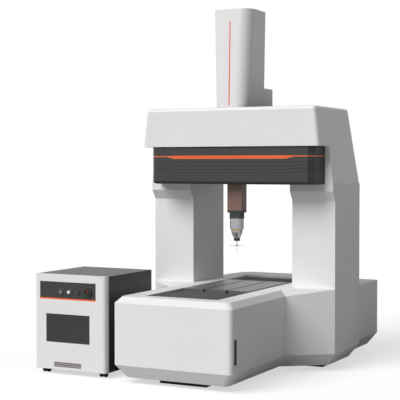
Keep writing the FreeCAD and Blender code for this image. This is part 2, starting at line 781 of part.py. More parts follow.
def ball_screw(name, axis, at, radius, end, reach):
    """A screw shaft with its coupling sleeve beyond the driven bearing."""
    shaft = cylinder(name + "_shaft", axis, at, radius, f"-{end} - bearing_thickness", reach)
    sleeve = cylinder(name + "_sleeve", axis, at, "coupling_radius",
                      f"{end} + bearing_thickness + motor_gap", reach)
    return fuse(name, shaft, sleeve)


def horizontal_screws():
    reach = "{0} + bearing_thickness + coupling_length"
    node(ball_screw("y_ball_screw", "Y", SCREW_Y_AT, "screw_y_radius", "screw_y_end",
                    reach.format("screw_y_end")), "y_ball_screw")
    node(ball_screw("x_ball_screw", "X", SCREW_X_AT, "screw_x_radius", "screw_x_end",
                    reach.format("screw_x_end")), "x_ball_screw")


def measuring_scales():
    scale_y = box("scale_y", ("way_inner - scale_thickness", "way_inner"), ("-way_front", "way_back"),
                  ("trench_floor + scale_rise", "trench_floor + scale_rise + scale_width"))
    scale_x = box("scale_x", ("-screw_x_end", "screw_x_end"),
                  ("beam_back - scale_setback", "beam_back - scale_setback + scale_width"),
                  ("beam_top", "beam_top + scale_thickness"))
    node(group("measuring_scales", scale_y, scale_x), "measuring_scales")


# ---------------------------------------------------------------- work table and saddle

SADDLE_TOP = "table_top - table_thickness"
WAY_TOP = "trench_floor + way_height"


def work_table():
    """Slab with two tee slots that run out at both ends."""
    slab = box("table_slab", ("-table_width / 2", "table_width / 2"),
               ("-table_length / 2", "table_length / 2"), (SADDLE_TOP, "table_top"))
    head_top = "table_top - slot_neck_depth"
    slots = []
    for side, centre in (("left", "-slot_spacing / 2"), ("right", "slot_spacing / 2")):
        slots.append(prism(f"slot_{side}", "XZ", [
            (f"{centre} - slot_neck / 2", "table_top"), (f"{centre} - slot_neck / 2", head_top),
            (f"{centre} - slot_head / 2", head_top),
            (f"{centre} - slot_head / 2", f"{head_top} - slot_head_depth"),
            (f"{centre} + slot_head / 2", f"{head_top} - slot_head_depth"),
            (f"{centre} + slot_head / 2", head_top),
            (f"{centre} + slot_neck / 2", head_top), (f"{centre} + slot_neck / 2", "table_top"),
        ], "-table_length / 2", "table_length / 2"))
    node(cut("work_table", slab, *slots), "work_table")


def table_saddle():
    """Carrier under the table, with a lip beside each guideway and the screw nut in the middle."""
    pad_top = f"{WAY_TOP} + air_gap + pad_height"
    outer = "way_inner + way_width + air_gap + pad_height"
    plate = box("saddle_plate", (f"-({outer}) - lip_width", f"{outer} + lip_width"),
                ("-saddle_half_length", "saddle_half_length"), (pad_top, SADDLE_TOP))
    lip = box("saddle_lip", (outer, f"{outer} + lip_width"),
              ("-saddle_half_length", "saddle_half_length"), ("trench_floor + lip_clearance", pad_top))
    nut_block = box("nut_block", ("-bearing_half_width", "bearing_half_width"),
                    ("-nut_half_length", "nut_half_length"), ("trench_floor + lip_clearance", pad_top))
    bore = cylinder("nut_bore", "Y", SCREW_Y_AT, "screw_y_radius + thread_gap",
                    "-nut_half_length - 1", "nut_half_length + 1")
    solid = fuse("saddle_casting", plate, lip, mirrored("saddle_lip_left", lip), nut_block)
    node(cut("table_saddle", solid, bore), "table_saddle")


def table_air_pads():
    """Eight pads: four on top of the guideways and four against their outer sides."""
    rise = f"{WAY_TOP} + air_gap"
    side = "way_inner + way_width + air_gap"
    pads = []
    for end, start in (("front", "-saddle_half_length"), ("back", "saddle_half_length - pad_length")):
        along = (start, f"{start} + pad_length")
        top = box(f"pad_top_{end}", ("way_inner", "way_inner + way_width"), along,
                  (rise, f"{rise} + pad_height"))
        lateral = box(f"pad_side_{end}", (side, f"{side} + pad_height"), along,
                      ("trench_floor + lip_clearance", WAY_TOP))
        for pad_solid in (top, lateral):
            pads += [pad_solid, mirrored(pad_solid.Name + "_left", pad_solid)]
    node(group("table_air_pads", *pads), "table_air_pads")


# ---------------------------------------------------------------- covers of the base

WING_SLOPE = "((bridge_front + wing_root) / (wing_half_width - base_half_width))"
WING_TURN = f"(sqrt(1 + {WING_SLOPE} ^ 2) - {WING_SLOPE})"


def base_outline(inset, radius):
    """Plan of the front block with the two wings that grow into the columns."""
    return loop_both([
        (f"base_half_width - ({inset})", f"-base_front + ({inset})", radius),
        (f"base_half_width - ({inset})", f"-wing_root + ({inset}) * {WING_TURN}"),
        (f"wing_half_width - ({inset})", f"bridge_front + ({inset}) * {WING_TURN}"),
        (f"wing_half_width - ({inset})", f"bridge_back - ({inset})"),
    ])


def slope_cutter(name, corners):
    """A large block above the plane through three corner points, listed so that it faces up."""
    first, second, third = (Vector(*(number(part) for part in corner)) for corner in corners)
    normal = (second - first).cross(third - first).normalize()
    reach = number("2 * wing_half_width")
    solid = Part.makeBox(reach, reach, reach, Vector(-reach / 2, -reach / 2, 0))
    solid.Placement = FreeCAD.Placement(first, Rotation(Vector(0, 0, 1), normal))
    wedge = doc.addObject("Part::Feature", name)
    wedge.Shape = solid
    return wedge


def base_block(name, inset):
    """All base covers as one block: sloping skirt, upright sides, sloping deck edge.

    Drawn once as it is and once moved inwards by the wall, it gives the thin covers.
    """
    skirt_top = "skirt_bottom + skirt_rise"
    edge_bottom = "deck_height - edge_drop"
    top = f"deck_height - {inset}"
    radius = f"corner_radius - {inset}"

    def front_block(shift):
        return loop_both([
            (f"base_half_width - {inset} - {shift}", f"-base_front + {inset} + {shift}", radius),
            (f"base_half_width - {inset} - {shift}", "bridge_front"),
        ])

    body = new_body(name + "_body")
    pad(body, name + "_sides", "XY", base_outline(inset, radius), skirt_top, edge_bottom)
    loft(body, name + "_skirt", "XY", (base_outline(inset, radius), skirt_top),
         (base_outline(f"{inset} + skirt_run", radius), "skirt_bottom"))
    loft(body, name + "_edge", "XY", (front_block("0"), edge_bottom), (front_block("edge_run"), top))
    wings = prism(name + "_wings", "XY", loop_both([
        (f"base_half_width - {inset}", f"-wing_root + {inset} * {WING_TURN}"),
        (f"wing_half_width - {inset}", f"bridge_front + {inset} * {WING_TURN}"),
        (f"wing_half_width - {inset}", f"bridge_back - {inset}"),
    ]), edge_bottom, top)
    right = slope_cutter(name + "_slope", [
        (f"base_half_width - {inset}", f"-wing_root + {inset} * {WING_TURN}", edge_bottom),
        (f"wing_half_width - {inset}", f"bridge_front + {inset} * {WING_TURN}", top),
        ("base_half_width - edge_run", "-wing_root + edge_run / 2", top),
    ])
    sloped = cut(name + "_sloped_wings", wings, right, mirrored(name + "_slope_left", right))
    return fuse(name, body, sloped)


def tongue_outline(inset):
    """Plan of the raised deck behind the bridge, its sides moved inwards by inset."""
    return loop_both([
        (f"tongue_half_width - {inset}", f"bridge_back - 2 * cover_wall - {inset} / 2"),
        (f"tongue_half_width - {inset}", f"tongue_back - tongue_corner - {inset}"),
        (f"tongue_half_width - tongue_corner - {inset}", f"tongue_back - {inset}"),
    ])


def base_covers():
    """Front cover, two side covers that run round the wings, and the deck, split from one moulding."""
    shell = cut("base_shell", base_block("base_outer", "0"), base_block("base_inner", "cover_wall"))
    edge_bottom = "deck_height - edge_drop"
    far = "wing_half_width + 10"
    recess_half = "table_width / 2 + recess_clearance"

    upper = fuse("deck_region",
                 box("deck_region_front", ("-base_half_width", "base_half_width"),
                     ("-base_front", "bridge_front"), (edge_bottom, "deck_height")),
                 box("deck_region_top", (minus(far), far),
                     ("-base_front", "bridge_back"), (BED_TOP, "deck_height")))
    deck_cut = common("deck_moulding", shell, upper)
    tongue = prism("deck_tongue", "XY", tongue_outline("0"), "deck_height - deck_step", "deck_height")
    tongue_hollow = prism("tongue_hollow", "XY", tongue_outline("2 * cover_wall"),
                          "deck_height - deck_step - 1", BED_TOP)
    lip = box("recess_lip_outer", (f"-({recess_half}) - cover_wall", f"{recess_half} + cover_wall"),
              ("-recess_front - cover_wall", "recess_back + cover_wall"),
              ("deck_height - recess_lip", "deck_height"))
    whole = fuse("deck_whole", deck_cut, cut("deck_tongue_shell", tongue, tongue_hollow), lip)
    recess = box("recess", (f"-({recess_half})", recess_half), ("-recess_front", "recess_back"),
                 ("deck_height - recess_lip - 1", "deck_height + 1"))
    column_hole = box("deck_column_hole", ("column_core_inner", "column_core_outer"),
                      ("column_core_front", "column_core_back"), (BED_TOP, "deck_height"))
    node(cut("deck_frame", whole, recess, column_hole, mirrored("deck_column_hole_left", column_hole)),
         "deck_frame")

    lower = cut("cover_ring", cut("cover_ring_high", shell, deck_cut),
                box("cover_ring_floor", ("-base_half_width", "base_half_width"),
                    ("bridge_back - cover_wall - 1", "bridge_back + 1"), ("0", "deck_height")))
    front_region = box("front_region", (minus(far), far), ("-base_front", "-side_seam"),
                       ("0", "deck_height"))
    vent = box("vent_opening", ("base_half_width - 2 * cover_wall", "base_half_width + 1"),
               ("-vent_front", "-vent_front + vent_length"),
               ("vent_bottom", "vent_bottom + vent_height"))
    node(cut("front_cover", common("front_cover_whole", lower, front_region), vent,
             mirrored("vent_opening_left", vent)), "front_cover")

    hatch = ("-hatch_front", "-hatch_front + hatch_length")
    hatch_rise = ("hatch_bottom", "hatch_bottom + hatch_height")
    hatch_hole = box("hatch_opening", ("base_half_width - 2 * cover_wall", "base_half_width + 1"),
                     tuple(f"{place} {sign} hatch_gap" for place, sign in zip(hatch, "-+")),
                     tuple(f"{place} {sign} hatch_gap" for place, sign in zip(hatch_rise, "-+")))
    side_region = box("side_region", ("0", far), ("-side_seam", "bridge_back + 1"), ("0", "deck_height"))
    right = cut("side_cover_right", common("side_cover_half", lower, side_region), hatch_hole)
    node(right, "side_cover_right")
    node(mirrored("side_cover_left", right), "side_cover_left")
    return hatch, hatch_rise


def side_fittings(hatch, hatch_rise):
    """Louvred vents in the front cover's sides, service hatches and the covers' screws."""
    height = "vent_height / vent_bars"
    vent_y = ("-vent_front", "-vent_front + vent_length")
    frame = box("vent_plate", ("base_half_width - cover_wall", "base_half_width"), vent_y,
                ("vent_bottom", "vent_bottom + vent_height"))
    slits = []
    for n in range(int(number("vent_bars"))):
        start = f"vent_bottom + ({n} + 0.3) * {height}"
        slits.append(box(f"vent_slit_{n}", ("base_half_width - vent_depth", "base_half_width + 1"),
                         ("-vent_front + 4", "-vent_front + vent_length - 4"),
                         (start, f"{start} + 0.5 * {height}")))
    vent = cut("vent_right", frame, *slits)
    node(group("side_vents", vent, mirrored("vent_left", vent)), "side_vents")

    panel = box("hatch_right", ("base_half_width - cover_wall", "base_half_width"), hatch, hatch_rise)
    lap = box("hatch_lap", ("base_half_width - 1.5 * cover_wall", "base_half_width - cover_wall"),
              (f"{hatch[0]} - hatch_lap", f"{hatch[1]} + hatch_lap"),
              (f"{hatch_rise[0]} - hatch_lap", f"{hatch_rise[1]} + hatch_lap"))
    right = fuse("hatch_whole", panel, lap)
    node(group("service_hatches", right, mirrored("hatch_left", right)), "service_hatches")

    side = ("base_half_width", "base_half_width + screw_head_rise")
    wing = ("wing_half_width", "wing_half_width + screw_head_rise")
    column = ("column_inner - screw_head_rise", "column_inner")
    seam, root = "-side_seam - screw_seam_inset", "-wing_root - screw_root_inset"
    column_y = "bridge_back - column_screw_inset"
    spots = [(seam, "screw_seam_height", side), (seam, "screw_low", side),
             (root, "screw_root_height", side), (root, "screw_low", side),
             ("screw_wing_back", "screw_low", wing), ("screw_wing_back", "screw_wing_height", wing)]
    spots += [(column_y, f"column_screw_low + {n} * column_screw_pitch", column)
              for n in range(int(number("column_screw_count")))]
    heads = [hexagon(f"cover_screw_{n}", "X", (y, z), "screw_head_radius", *reach)
             for n, (y, z, reach) in enumerate(spots)]
    node(group("cover_screws", *heads, *[mirrored(h.Name + "_left", h) for h in heads]), "cover_screws")


def rear_block(name, inset, front):
    """Lower cover behind the bridge, with the same sloping skirt."""
    def plan(shift):
        return loop_both([
            (f"rear_half_width - ({shift})", front),
            (f"rear_half_width - ({shift})", f"base_back - ({shift})", f"corner_radius - {inset}"),
        ])
    body = new_body(name)
    skirt_top = "skirt_bottom + skirt_rise"
    pad(body, name + "_sides", "XY", plan(inset), skirt_top, f"deck_height - deck_step - {inset}")
    loft(body, name + "_skirt", "XY", (plan(inset), skirt_top),
         (plan(f"{inset} + skirt_run"), "skirt_bottom"))
    return body


def rear_covers():
    outer = rear_block("rear_outer", "0", "bridge_back")
    inner = rear_block("rear_inner", "cover_wall", "bridge_back - 1")
    table_gap = prism("rear_table_gap", "XY", tongue_outline("2 * cover_wall"),
                      "deck_height - deck_step - cover_wall - 1", "deck_height")
    panel_z = ("panel_bottom", "panel_bottom + panel_height")
    window = box("panel_opening", ("-panel_half_width", "panel_half_width"),
                 ("base_back - cover_wall - 1", "base_back + 1"), panel_z)
    node(cut("rear_cover", outer, inner, table_gap, window), "rear_cover")

    plate = box("panel_plate", ("-panel_half_width", "panel_half_width"),
                ("base_back - cover_wall", "base_back"), panel_z)
    middle = "panel_bottom + panel_height / 2"
    fittings, bores = [plate], []
    for n in range(4):
        at = (f"({n} - 1.5) * socket_spacing", middle)
        air = n == 3
        radius, length, nut = (("air_inlet_radius", "inlet_length", "inlet_nut") if air
                               else ("gland_radius", "gland_length", "gland_nut"))
        fittings.append(cylinder(f"fitting_{n}", "Y", at, radius, "base_back", f"base_back + {length}"))
        fittings.append(hexagon(f"fitting_nut_{n}", "Y", at, f"{radius} + fitting_wall * 1.3", "base_back",
                                f"base_back + {nut}"))
        bores.append(cylinder(f"fitting_bore_{n}", "Y", at, f"{radius} - fitting_wall",
                              "base_back + fitting_wall", f"base_back + {length} + 1"))
    node(cut("connection_panel", fuse("panel_fittings", *fittings), *bores), "connection_panel")


# ---------------------------------------------------------------- bellows

def bellows(name, axis, start, end, across, top, folds):
    """A pleated sheet from start to end along X or Y: one pleat, repeated."""
    body = new_body(name)
    pitch = f"(({end}) - ({start})) / {folds}"
    rows = [(start, "bellows_height"), (f"{start} + {pitch} / 2", "0"), (f"{start} + {pitch}", "bellows_height"),
            (f"{start} + {pitch}", "bellows_height + bellows_skin"),
            (f"{start} + {pitch} / 2", "bellows_skin"), (start, "bellows_height + bellows_skin")]
    plane = "YZ" if axis == "Y" else "XZ"
    fold = pad(body, name + "_fold", plane, [(u, f"{top} - ({drop})") for u, drop in rows], *across)
    doc.recompute()
    repeat = body.newObject("PartDesign::LinearPattern", name + "_folds")
    repeat.Originals = [fold]
    role = axis + "_Axis"
    repeat.Direction = (next(f for f in body.Origin.OriginFeatures if f.Role == role), [""])
    repeat.Mode = "Spacing"
    bind(repeat, "Offset", pitch)
    bind(repeat, "Occurrences", folds)
    body.Tip = repeat
    return body


def table_bellows():
    half = "table_width / 2 + recess_clearance - bellows_side_gap"
    top = "table_top - bellows_drop"
    node(bellows("bellows_front", "Y", "-recess_front", "-table_length / 2", (f"-({half})", half), top,
                 "bellows_folds_front"), "bellows_front")
    node(bellows("bellows_rear", "Y", "table_length / 2", "recess_back", (f"-({half})", half), top,
                 "bellows_folds_back"), "bellows_rear")


# ---------------------------------------------------------------- bridge

def columns():
    core = box("column_core", ("column_core_inner", "column_core_outer"),
               ("column_core_front", "column_core_back"), (BED_TOP, "beam_bottom"))
    hollow = box("column_hollow", ("column_core_inner + beam_wall", "column_core_outer - beam_wall"),
                 ("column_core_front + beam_wall", "column_core_back - beam_wall"),
                 (f"{BED_TOP} + beam_wall", "beam_bottom - beam_wall"))
    right = cut("column_right", core, hollow)
    node(group("columns", right, mirrored("column_left", right)), "columns")


def cross_beam():
    beam = box("beam_solid", ("-beam_half_length", "beam_half_length"), ("beam_front", "beam_back"),
               ("beam_bottom", "beam_top"))
    hollow = box("beam_hollow", ("-beam_half_length + beam_wall", "beam_half_length - beam_wall"),
                 ("beam_front + beam_wall", "beam_back - beam_wall"),
                 ("beam_bottom + beam_wall", "beam_top - beam_wall"))
    node(cut("cross_beam", beam, hollow), "cross_beam")


def column_profile(inset, low, high):
    """Side view of a column cover: upright, a short bevel forwards, then the column head."""
    return [
        (f"bridge_front + {inset}", low), (f"bridge_front + {inset}", "bevel_bottom"),
        (f"corbel_front + {inset}", "bevel_top"), (f"corbel_front + {inset}", high),
        (f"bridge_back - {inset}", high), (f"bridge_back - {inset}", low),
    ]


def column_covers():
    outer = new_body("column_cover_body")
    pad(outer, "column_cover_pad", "YZ", column_profile("0", "deck_height", "column_top"),
        "column_inner", "wing_half_width")
    inner = prism("column_cover_hollow", "YZ",
                  column_profile("cover_wall", "deck_height - 1", "column_top + 1"),
                  "column_inner + cover_wall", "wing_half_width - cover_wall")
    right = cut("column_cover_right", outer, inner)
    node(right, "column_cover_right")
    node(mirrored("column_cover_left", right), "column_cover_left")


def hood_block(name, inset):
    """Hood as a block: side outline across the whole width, its two sides leaning in."""
    lean = "(wing_half_width - hood_top_half_width) / (hood_top - column_top)"
    low, top = ("column_top", "hood_top") if inset == "0" else ("column_top - 1", "hood_top - hood_wall")
    lower = "hood_lower" if inset == "0" else "hood_lower - 1"
    body = prism(name + "_side", "YZ", [
        (f"-hood_front + {inset}", lower), (f"-hood_front + {inset}", top),
        (f"hood_top_back - {inset}", top),
        (f"bridge_back - {inset}", "hood_lean_bottom"), (f"bridge_back - {inset}", low),
        (f"corbel_front + {inset}" if inset == "0" else "corbel_front - 1", low),
        (f"corbel_front + {inset}" if inset == "0" else "corbel_front - 1", lower),
    ], "-wing_half_width - 1", "wing_half_width + 1")
    front = prism(name + "_front", "XZ", loop_both([
        (f"wing_half_width - {inset} + ({lean}) * (column_top - ({low}))", low),
        (f"wing_half_width - {inset} - ({lean}) * (({top}) - column_top)", top),
    ]), "-hood_front - 1", "bridge_back + 1")
    return common(name, body, front)


def hood_edges(block):
    """Chooses the top edges and the upright front and back corners of a hood block."""
    doc.recompute()
    reach = block.Shape.BoundBox
    back = number("hood_top_back")

    def choose(middle, run):
        upright_back = back < middle.y < reach.YMax - 1 and abs(run.y) < 0.3 and abs(run.z) > 0.5
        upright_front = abs(middle.y - reach.YMin) < 1 and abs(run.z) > 0.9
        return abs(middle.z - reach.ZMax) < 1 or upright_front or upright_back

    return choose


def hood():
    """Moulded hood over the beam: rounded edges, a thin wall, an open underside with a lip."""
    outer = hood_block("hood_outer", "0")
    soft = rounded("hood_rounded", outer, "hood_radius", hood_edges(outer))
    inner = hood_block("hood_inner", "hood_wall")
    cavity = chamfered("hood_cavity", inner, "(hood_radius - hood_wall) * 0.7", hood_edges(inner))
    lip_slab = box("hood_lip_slab", ("-wing_half_width", "wing_half_width"),
                   ("-hood_front", "corbel_front"), ("hood_lower", "hood_lower + hood_wall"))
    lip = cut("hood_lip", lip_slab, cover_block("hood_lip_hole", "cover_wall", "hood_lower - 1",
                                                "hood_lower + hood_wall + 1"))
    wall = box("hood_side_wall", ("cover_back_half_width", "wing_half_width"),
               ("corbel_front - 1", "corbel_front + hood_wall"),
               ("column_top - 1", "hood_lower + hood_wall"))
    hollow = cut("hood_hollow", cavity, lip, wall, mirrored("hood_side_wall_left", wall))
    slot = box("tower_slot", ("-slot_half_width", "slot_half_width"),
               ("-tower_front - slot_clearance", "tail_back + slot_clearance"),
               ("hood_top - hood_wall - 30", "hood_top + 1"))
    node(cut("bridge_hood", soft, hollow, slot), "bridge_hood")


def beam_cover_outline(inset):
    """Plan of the beam cover: flat front, slanted corners, sides that run back to the column heads."""
    return loop_both([
        (f"cover_half_width - {inset} * 0.6", f"-cover_front + {inset}"),
        (f"cover_corner_half_width - {inset} * 0.9", f"-cover_corner_front + {inset} * 0.6"),
        (f"cover_back_half_width - {inset}", "corbel_front"),
    ])


def cover_block(name, inset, low, high):
    return prism(name, "XY", beam_cover_outline(inset), low, high)


def stepped_band(name, low, thickness, thin, lift):
    """A band across the whole cover, seen from the front: higher and thinner at its two ends."""
    far = "wing_half_width"
    points = loop_both([
        ("band_inner", low), ("band_outer", f"{low} + {lift}"), (far, f"{low} + {lift}"),
        (far, f"{low} + {lift} + {thin}"), ("band_outer", f"{low} + {lift} + {thin}"),
        ("band_inner", f"{low} + {thickness}"),
    ])
    return prism(name, "XZ", points, "-cover_front - 1", "corbel_front + 1")


def beam_cover():
    """Black cover across the bridge: stepped grooves, an inlaid band, a slot for the ram."""
    back = number("corbel_front")

    def soften(name, block, bottom, radius):
        low = number(bottom)
        return rounded(name, block, radius, lambda p, d: abs(p.z - low) < 1 and p.y < back - 1)

    soft = soften("beam_cover_rounded", cover_block("beam_cover_outer", "0", "cover_bottom", "hood_lower"),
                  "cover_bottom", "cover_radius")
    inner = soften("beam_cover_hollow",
                   cover_block("beam_cover_inner", "cover_wall", "cover_bottom + cover_wall",
                                "hood_lower + 1"),
                   "cover_bottom + cover_wall", "cover_radius - cover_wall")
    open_back = box("beam_cover_back", ("-cover_back_half_width + cover_wall",
                                        "cover_back_half_width - cover_wall"),
                    ("corbel_front - 1", "corbel_front + 1"),
                    ("cover_bottom + cover_wall", "hood_lower + 1"))
    soffit = box("soffit", ("-column_inner", "column_inner"), ("corbel_front", "bridge_back - hood_wall"),
                 ("cover_bottom", "cover_bottom + cover_wall"))
    ram_slot = box("ram_slot", ("-travel_x / 2 - ram_width / 2 - ram_clearance",
                                "travel_x / 2 + ram_width / 2 + ram_clearance"),
                   ("-ram_depth / 2 - ram_clearance", "ram_depth / 2 + ram_clearance"),
                   ("cover_bottom - 1", "cover_bottom + cover_wall + 1"))
    groove_core = cover_block("groove_core", "groove_depth", "cover_bottom", "hood_lower")
    grooves = [stepped_band(f"groove_{n}", f"groove_first - {n} * groove_pitch", "groove_width",
                            "groove_width", "groove_lift")
               for n in range(int(number("groove_count")))]
    groove_ring = cut("groove_ring", fuse("groove_bands", *grooves), groove_core)
    band = ("band_height", "band_thickness", "band_thin", "band_lift")
    band_core = cover_block("band_core", "band_depth", "cover_bottom", "hood_lower")
    band_ring = cut("band_ring", stepped_band("band", *band), band_core)
    shell = cut("beam_cover_shell", fuse("beam_cover_soffit", soft, soffit), inner, open_back, ram_slot)
    node(cut("beam_cover", shell, groove_ring, band_ring), "beam_cover")
    band_block = cover_block("band_block", "0", "cover_bottom", "hood_lower")
    node(common("beam_stripe", band_ring, band_block), "beam_stripe")


def slot_bellows():
    """Pleated sheets that close the tower slot on both sides of the tower."""
    across = ("-tower_front - slot_clearance + bellows_side_gap",
              "tail_back + slot_clearance - bellows_side_gap")
    top = "hood_top - hood_wall"
    right = bellows("slot_bellows_right", "X", "tower_half_width", "slot_half_width", across, top,
                    "bellows_folds_side")
    left = bellows("slot_bellows_left", "X", "-slot_half_width", "-tower_half_width", across, top,
                   "bellows_folds_side")
    node(group("x_bellows", left, right), "x_bellows")


# ---------------------------------------------------------------- carriage and tower

def x_carriage():
    """Casting that hugs the beam from the front, the top and the back, with a mast for the ram drive."""
    half = ("-carriage_half_width", "carriage_half_width")
    gap = "(air_gap + pad_x_thickness)"
    front = box("carriage_front_block", half, ("-carriage_front", f"beam_front - {gap}"),
                ("carriage_bottom", "carriage_top"))
    roof = box("carriage_roof", half, (f"beam_front - {gap}", "carriage_back"),
               (f"beam_top + {gap}", "carriage_top"))
    arm = box("carriage_arm", half, (f"beam_back + {gap}", "carriage_back"),
              ("carriage_arm", "carriage_top"))
    mast = box("mast", ("-mast_half_width", "mast_half_width"),
               ("mast_front", "mast_front + mast_thickness"), ("carriage_top", "tower_top - tower_wall"))
    head = box("upper_bearing", ("-mast_half_width / 2", "mast_half_width / 2"),
               ("screw_z_back - motor_half", "mast_front"), ("screw_z_top", "screw_z_top + bearing_thickness"))
    head_bore = cylinder("upper_bearing_bore", "Z", ("0", "screw_z_back"),
                         "screw_z_radius + running_gap", "screw_z_top", "screw_z_top + bearing_thickness")
    passage = box("ram_passage", ("-ram_width / 2 - air_gap - pad_z_thickness",
                                  "ram_width / 2 + air_gap + pad_z_thickness"),
                  ("-ram_depth / 2 - air_gap - pad_z_thickness",
                   "ram_depth / 2 + air_gap + pad_z_thickness"),
                  ("carriage_bottom - 1", "carriage_top + 1"))
    lower_bore = cylinder("lower_bearing_bore", "Z", ("0", "screw_z_back"),
                          "screw_z_radius + running_gap", "carriage_top - bearing_thickness",
                          "carriage_top + 1")
    nut = cylinder("carriage_nut_bore", "X", SCREW_X_AT, "screw_x_radius + thread_gap",
                   "-carriage_half_width - 1", "carriage_half_width + 1")
    well = cylinder("balance_well", "Z", ("balance_x", "screw_z_back"), "balance_radius",
                    "balance_bottom", "carriage_top + 1")
    whole = fuse("carriage_casting", front, roof, arm, mast, head)
    node(cut("x_carriage", whole, passage, head_bore, lower_bore, nut, well), "x_carriage")


def carriage_air_pads():
    """Pads on the beam's front, top and back, and pads round the ram at both ends of its passage."""
    film, thick = "air_gap", "pad_x_thickness"
    pads = []
    for side, low in (("left", "-carriage_half_width"), ("right", "carriage_half_width - pad_x_length")):
        x = (low, f"{low} + pad_x_length")
        pads.append(box(f"pad_beam_front_{side}", x, (f"beam_front - {film} - {thick}", f"beam_front - {film}"),
                        ("beam_top - pad_x_inset - pad_x_height", "beam_top - pad_x_inset")))
        pads.append(box(f"pad_beam_low_{side}", x, (f"beam_front - {film} - {thick}", f"beam_front - {film}"),
                        ("beam_bottom + pad_x_inset", "beam_bottom + pad_x_inset + pad_x_height")))
        pads.append(box(f"pad_beam_top_{side}", x, ("beam_front + pad_x_inset", "beam_front + pad_x_inset + pad_x_depth"),
                        (f"beam_top + {film}", f"beam_top + {film} + {thick}")))
        pads.append(box(f"pad_beam_back_{side}", x, (f"beam_back + {film}", f"beam_back + {film} + {thick}"),
                        ("carriage_arm + pad_x_inset", "carriage_arm + pad_x_inset + pad_x_depth")))
    rx, ry = "(ram_width / 2 + air_gap)", "(ram_depth / 2 + air_gap)"
    for end, z in (("low", "carriage_bottom"), ("high", "carriage_top - pad_z_height")):
        rise = (z, f"{z} + pad_z_height")
        outer = box(f"ram_pad_outer_{end}", (f"-{rx} - pad_z_thickness", f"{rx} + pad_z_thickness"),
                    (f"-{ry} - pad_z_thickness", f"{ry} + pad_z_thickness"), rise)
        inner = box(f"ram_pad_inner_{end}", (f"-{rx}", rx), (f"-{ry}", ry), rise)
        pads.append(cut(f"ram_pads_{end}", outer, inner))
    node(group("carriage_air_pads", *pads), "carriage_air_pads")


def tower_side(end, inset, z):
    """Place of the tower's front, back or side at a height: the foot's, moved as far as it leans."""
    run = f"(tower_top_{end} - tower_{end}) / (tower_top - carriage_top)"
    return f"(tower_{end} - {inset} + {run} * (({z}) - carriage_top))"


def tower_block(name, inset, low, high):
    """Tower as a block: the side view and the front view across each other, its corners rounded."""
    side = prism(name + "_side", "YZ", [
        (minus(tower_side("front", inset, low)), low), (tower_side("back", inset, low), low),
        (tower_side("back", inset, high), high), (minus(tower_side("front", inset, high)), high),
    ], "-tower_top_half_width - 1", "tower_top_half_width + 1")
    front = prism(name + "_front", "XZ", loop_both([
        (tower_side("half_width", inset, low), low), (tower_side("half_width", inset, high), high),
    ]), "-tower_front - 1", "tower_back + 1")
    block = common(name + "_block", side, front)
    wide = rounded(name + "_wide", block, f"tower_radius - {inset}", lambda p, d: p.y < 0 and abs(d.z) > 0.9)
    return rounded(name, wide, f"tower_back_radius - {inset}",
                   lambda p, d: p.y > number("tower_back") / 2 and abs(d.z) > 0.9)


def tower_cover():
    """Tall moulding over the ram, wider at the top, with a box behind its foot."""
    outer = tower_block("tower_outer", "0", "carriage_top", "tower_top")
    inner = tower_block("tower_inner", "tower_wall", "carriage_top - 1", "tower_top - tower_wall")
    tail = box("tail", ("-tail_half_width", "tail_half_width"), ("tower_top_back", "tail_back"),
               ("carriage_top", "tail_top"))
    top = number("tail_top")
    back = number("tail_back")
    soft_tail = rounded("tail_rounded", tail, "tower_edge", lambda p, d:
                        abs(p.z - top) < 1 or abs(p.y - back) < 1 and abs(d.z) > 0.9)
    tail_hollow = box("tail_hollow", ("-tail_half_width + tower_wall", "tail_half_width - tower_wall"),
                      ("tower_top_back - 20", "tail_back - tower_wall"),
                      ("carriage_top - 1", "tail_top - tower_wall"))
    shell = cut("tower_shell", fuse("tower_mass", outer, soft_tail), inner, tail_hollow)
    inlay = tower_line("line_cutter", "1")
    node(cut("tower_cover", shell, inlay), "tower_cover")
    node(tower_line("tower_stripe", "0"), "tower_stripe")


def tower_line(name, proud):
    """Upright inlay that follows the leaning front face."""
    low, high = "line_bottom", "line_top"
    return prism(name, "YZ", [
        (f"-{tower_side('front', '0', low)} - {proud}", low),
        (f"-{tower_side('front', '0', high)} - {proud}", high),
        (f"-{tower_side('front', '0', high)} + band_depth", high),
        (f"-{tower_side('front', '0', low)} + band_depth", low),
    ], "-line_width / 2", "line_width / 2")


def z_drive():
    case_z = "screw_z_top + bearing_thickness + coupling_length + motor_gap"
    unit = motor("motor_z", "Z", ("0", "screw_z_back"), case_z)
    bracket = box("motor_z_bracket", ("-motor_half", "motor_half"),
                  ("screw_z_back + motor_half", "mast_front"), (case_z, f"{case_z} + motor_length"))
    reach = "screw_z_top + bearing_thickness + coupling_length"
    shaft = cylinder("z_shaft", "Z", ("0", "screw_z_back"), "screw_z_radius",
                     "carriage_top - bearing_thickness + 2", reach)
    sleeve = cylinder("z_sleeve", "Z", ("0", "screw_z_back"), "coupling_radius",
                      "screw_z_top + bearing_thickness + motor_gap", reach)
    node(fuse("z_ball_screw", shaft, sleeve), "z_ball_screw")
    tube = cylinder("balance_tube", "Z", ("balance_x", "screw_z_back"), "balance_radius",
                    "balance_bottom", "balance_top")
    bore = cylinder("balance_inside", "Z", ("balance_x", "screw_z_back"), "balance_bore",
                    "balance_bottom + balance_wall", "balance_top + 1")
    node(group("z_drive", fuse("z_drive_motor", unit, bracket), cut("balance_cylinder", tube, bore)),
         "z_drive")


# ---------------------------------------------------------------- ram and probe

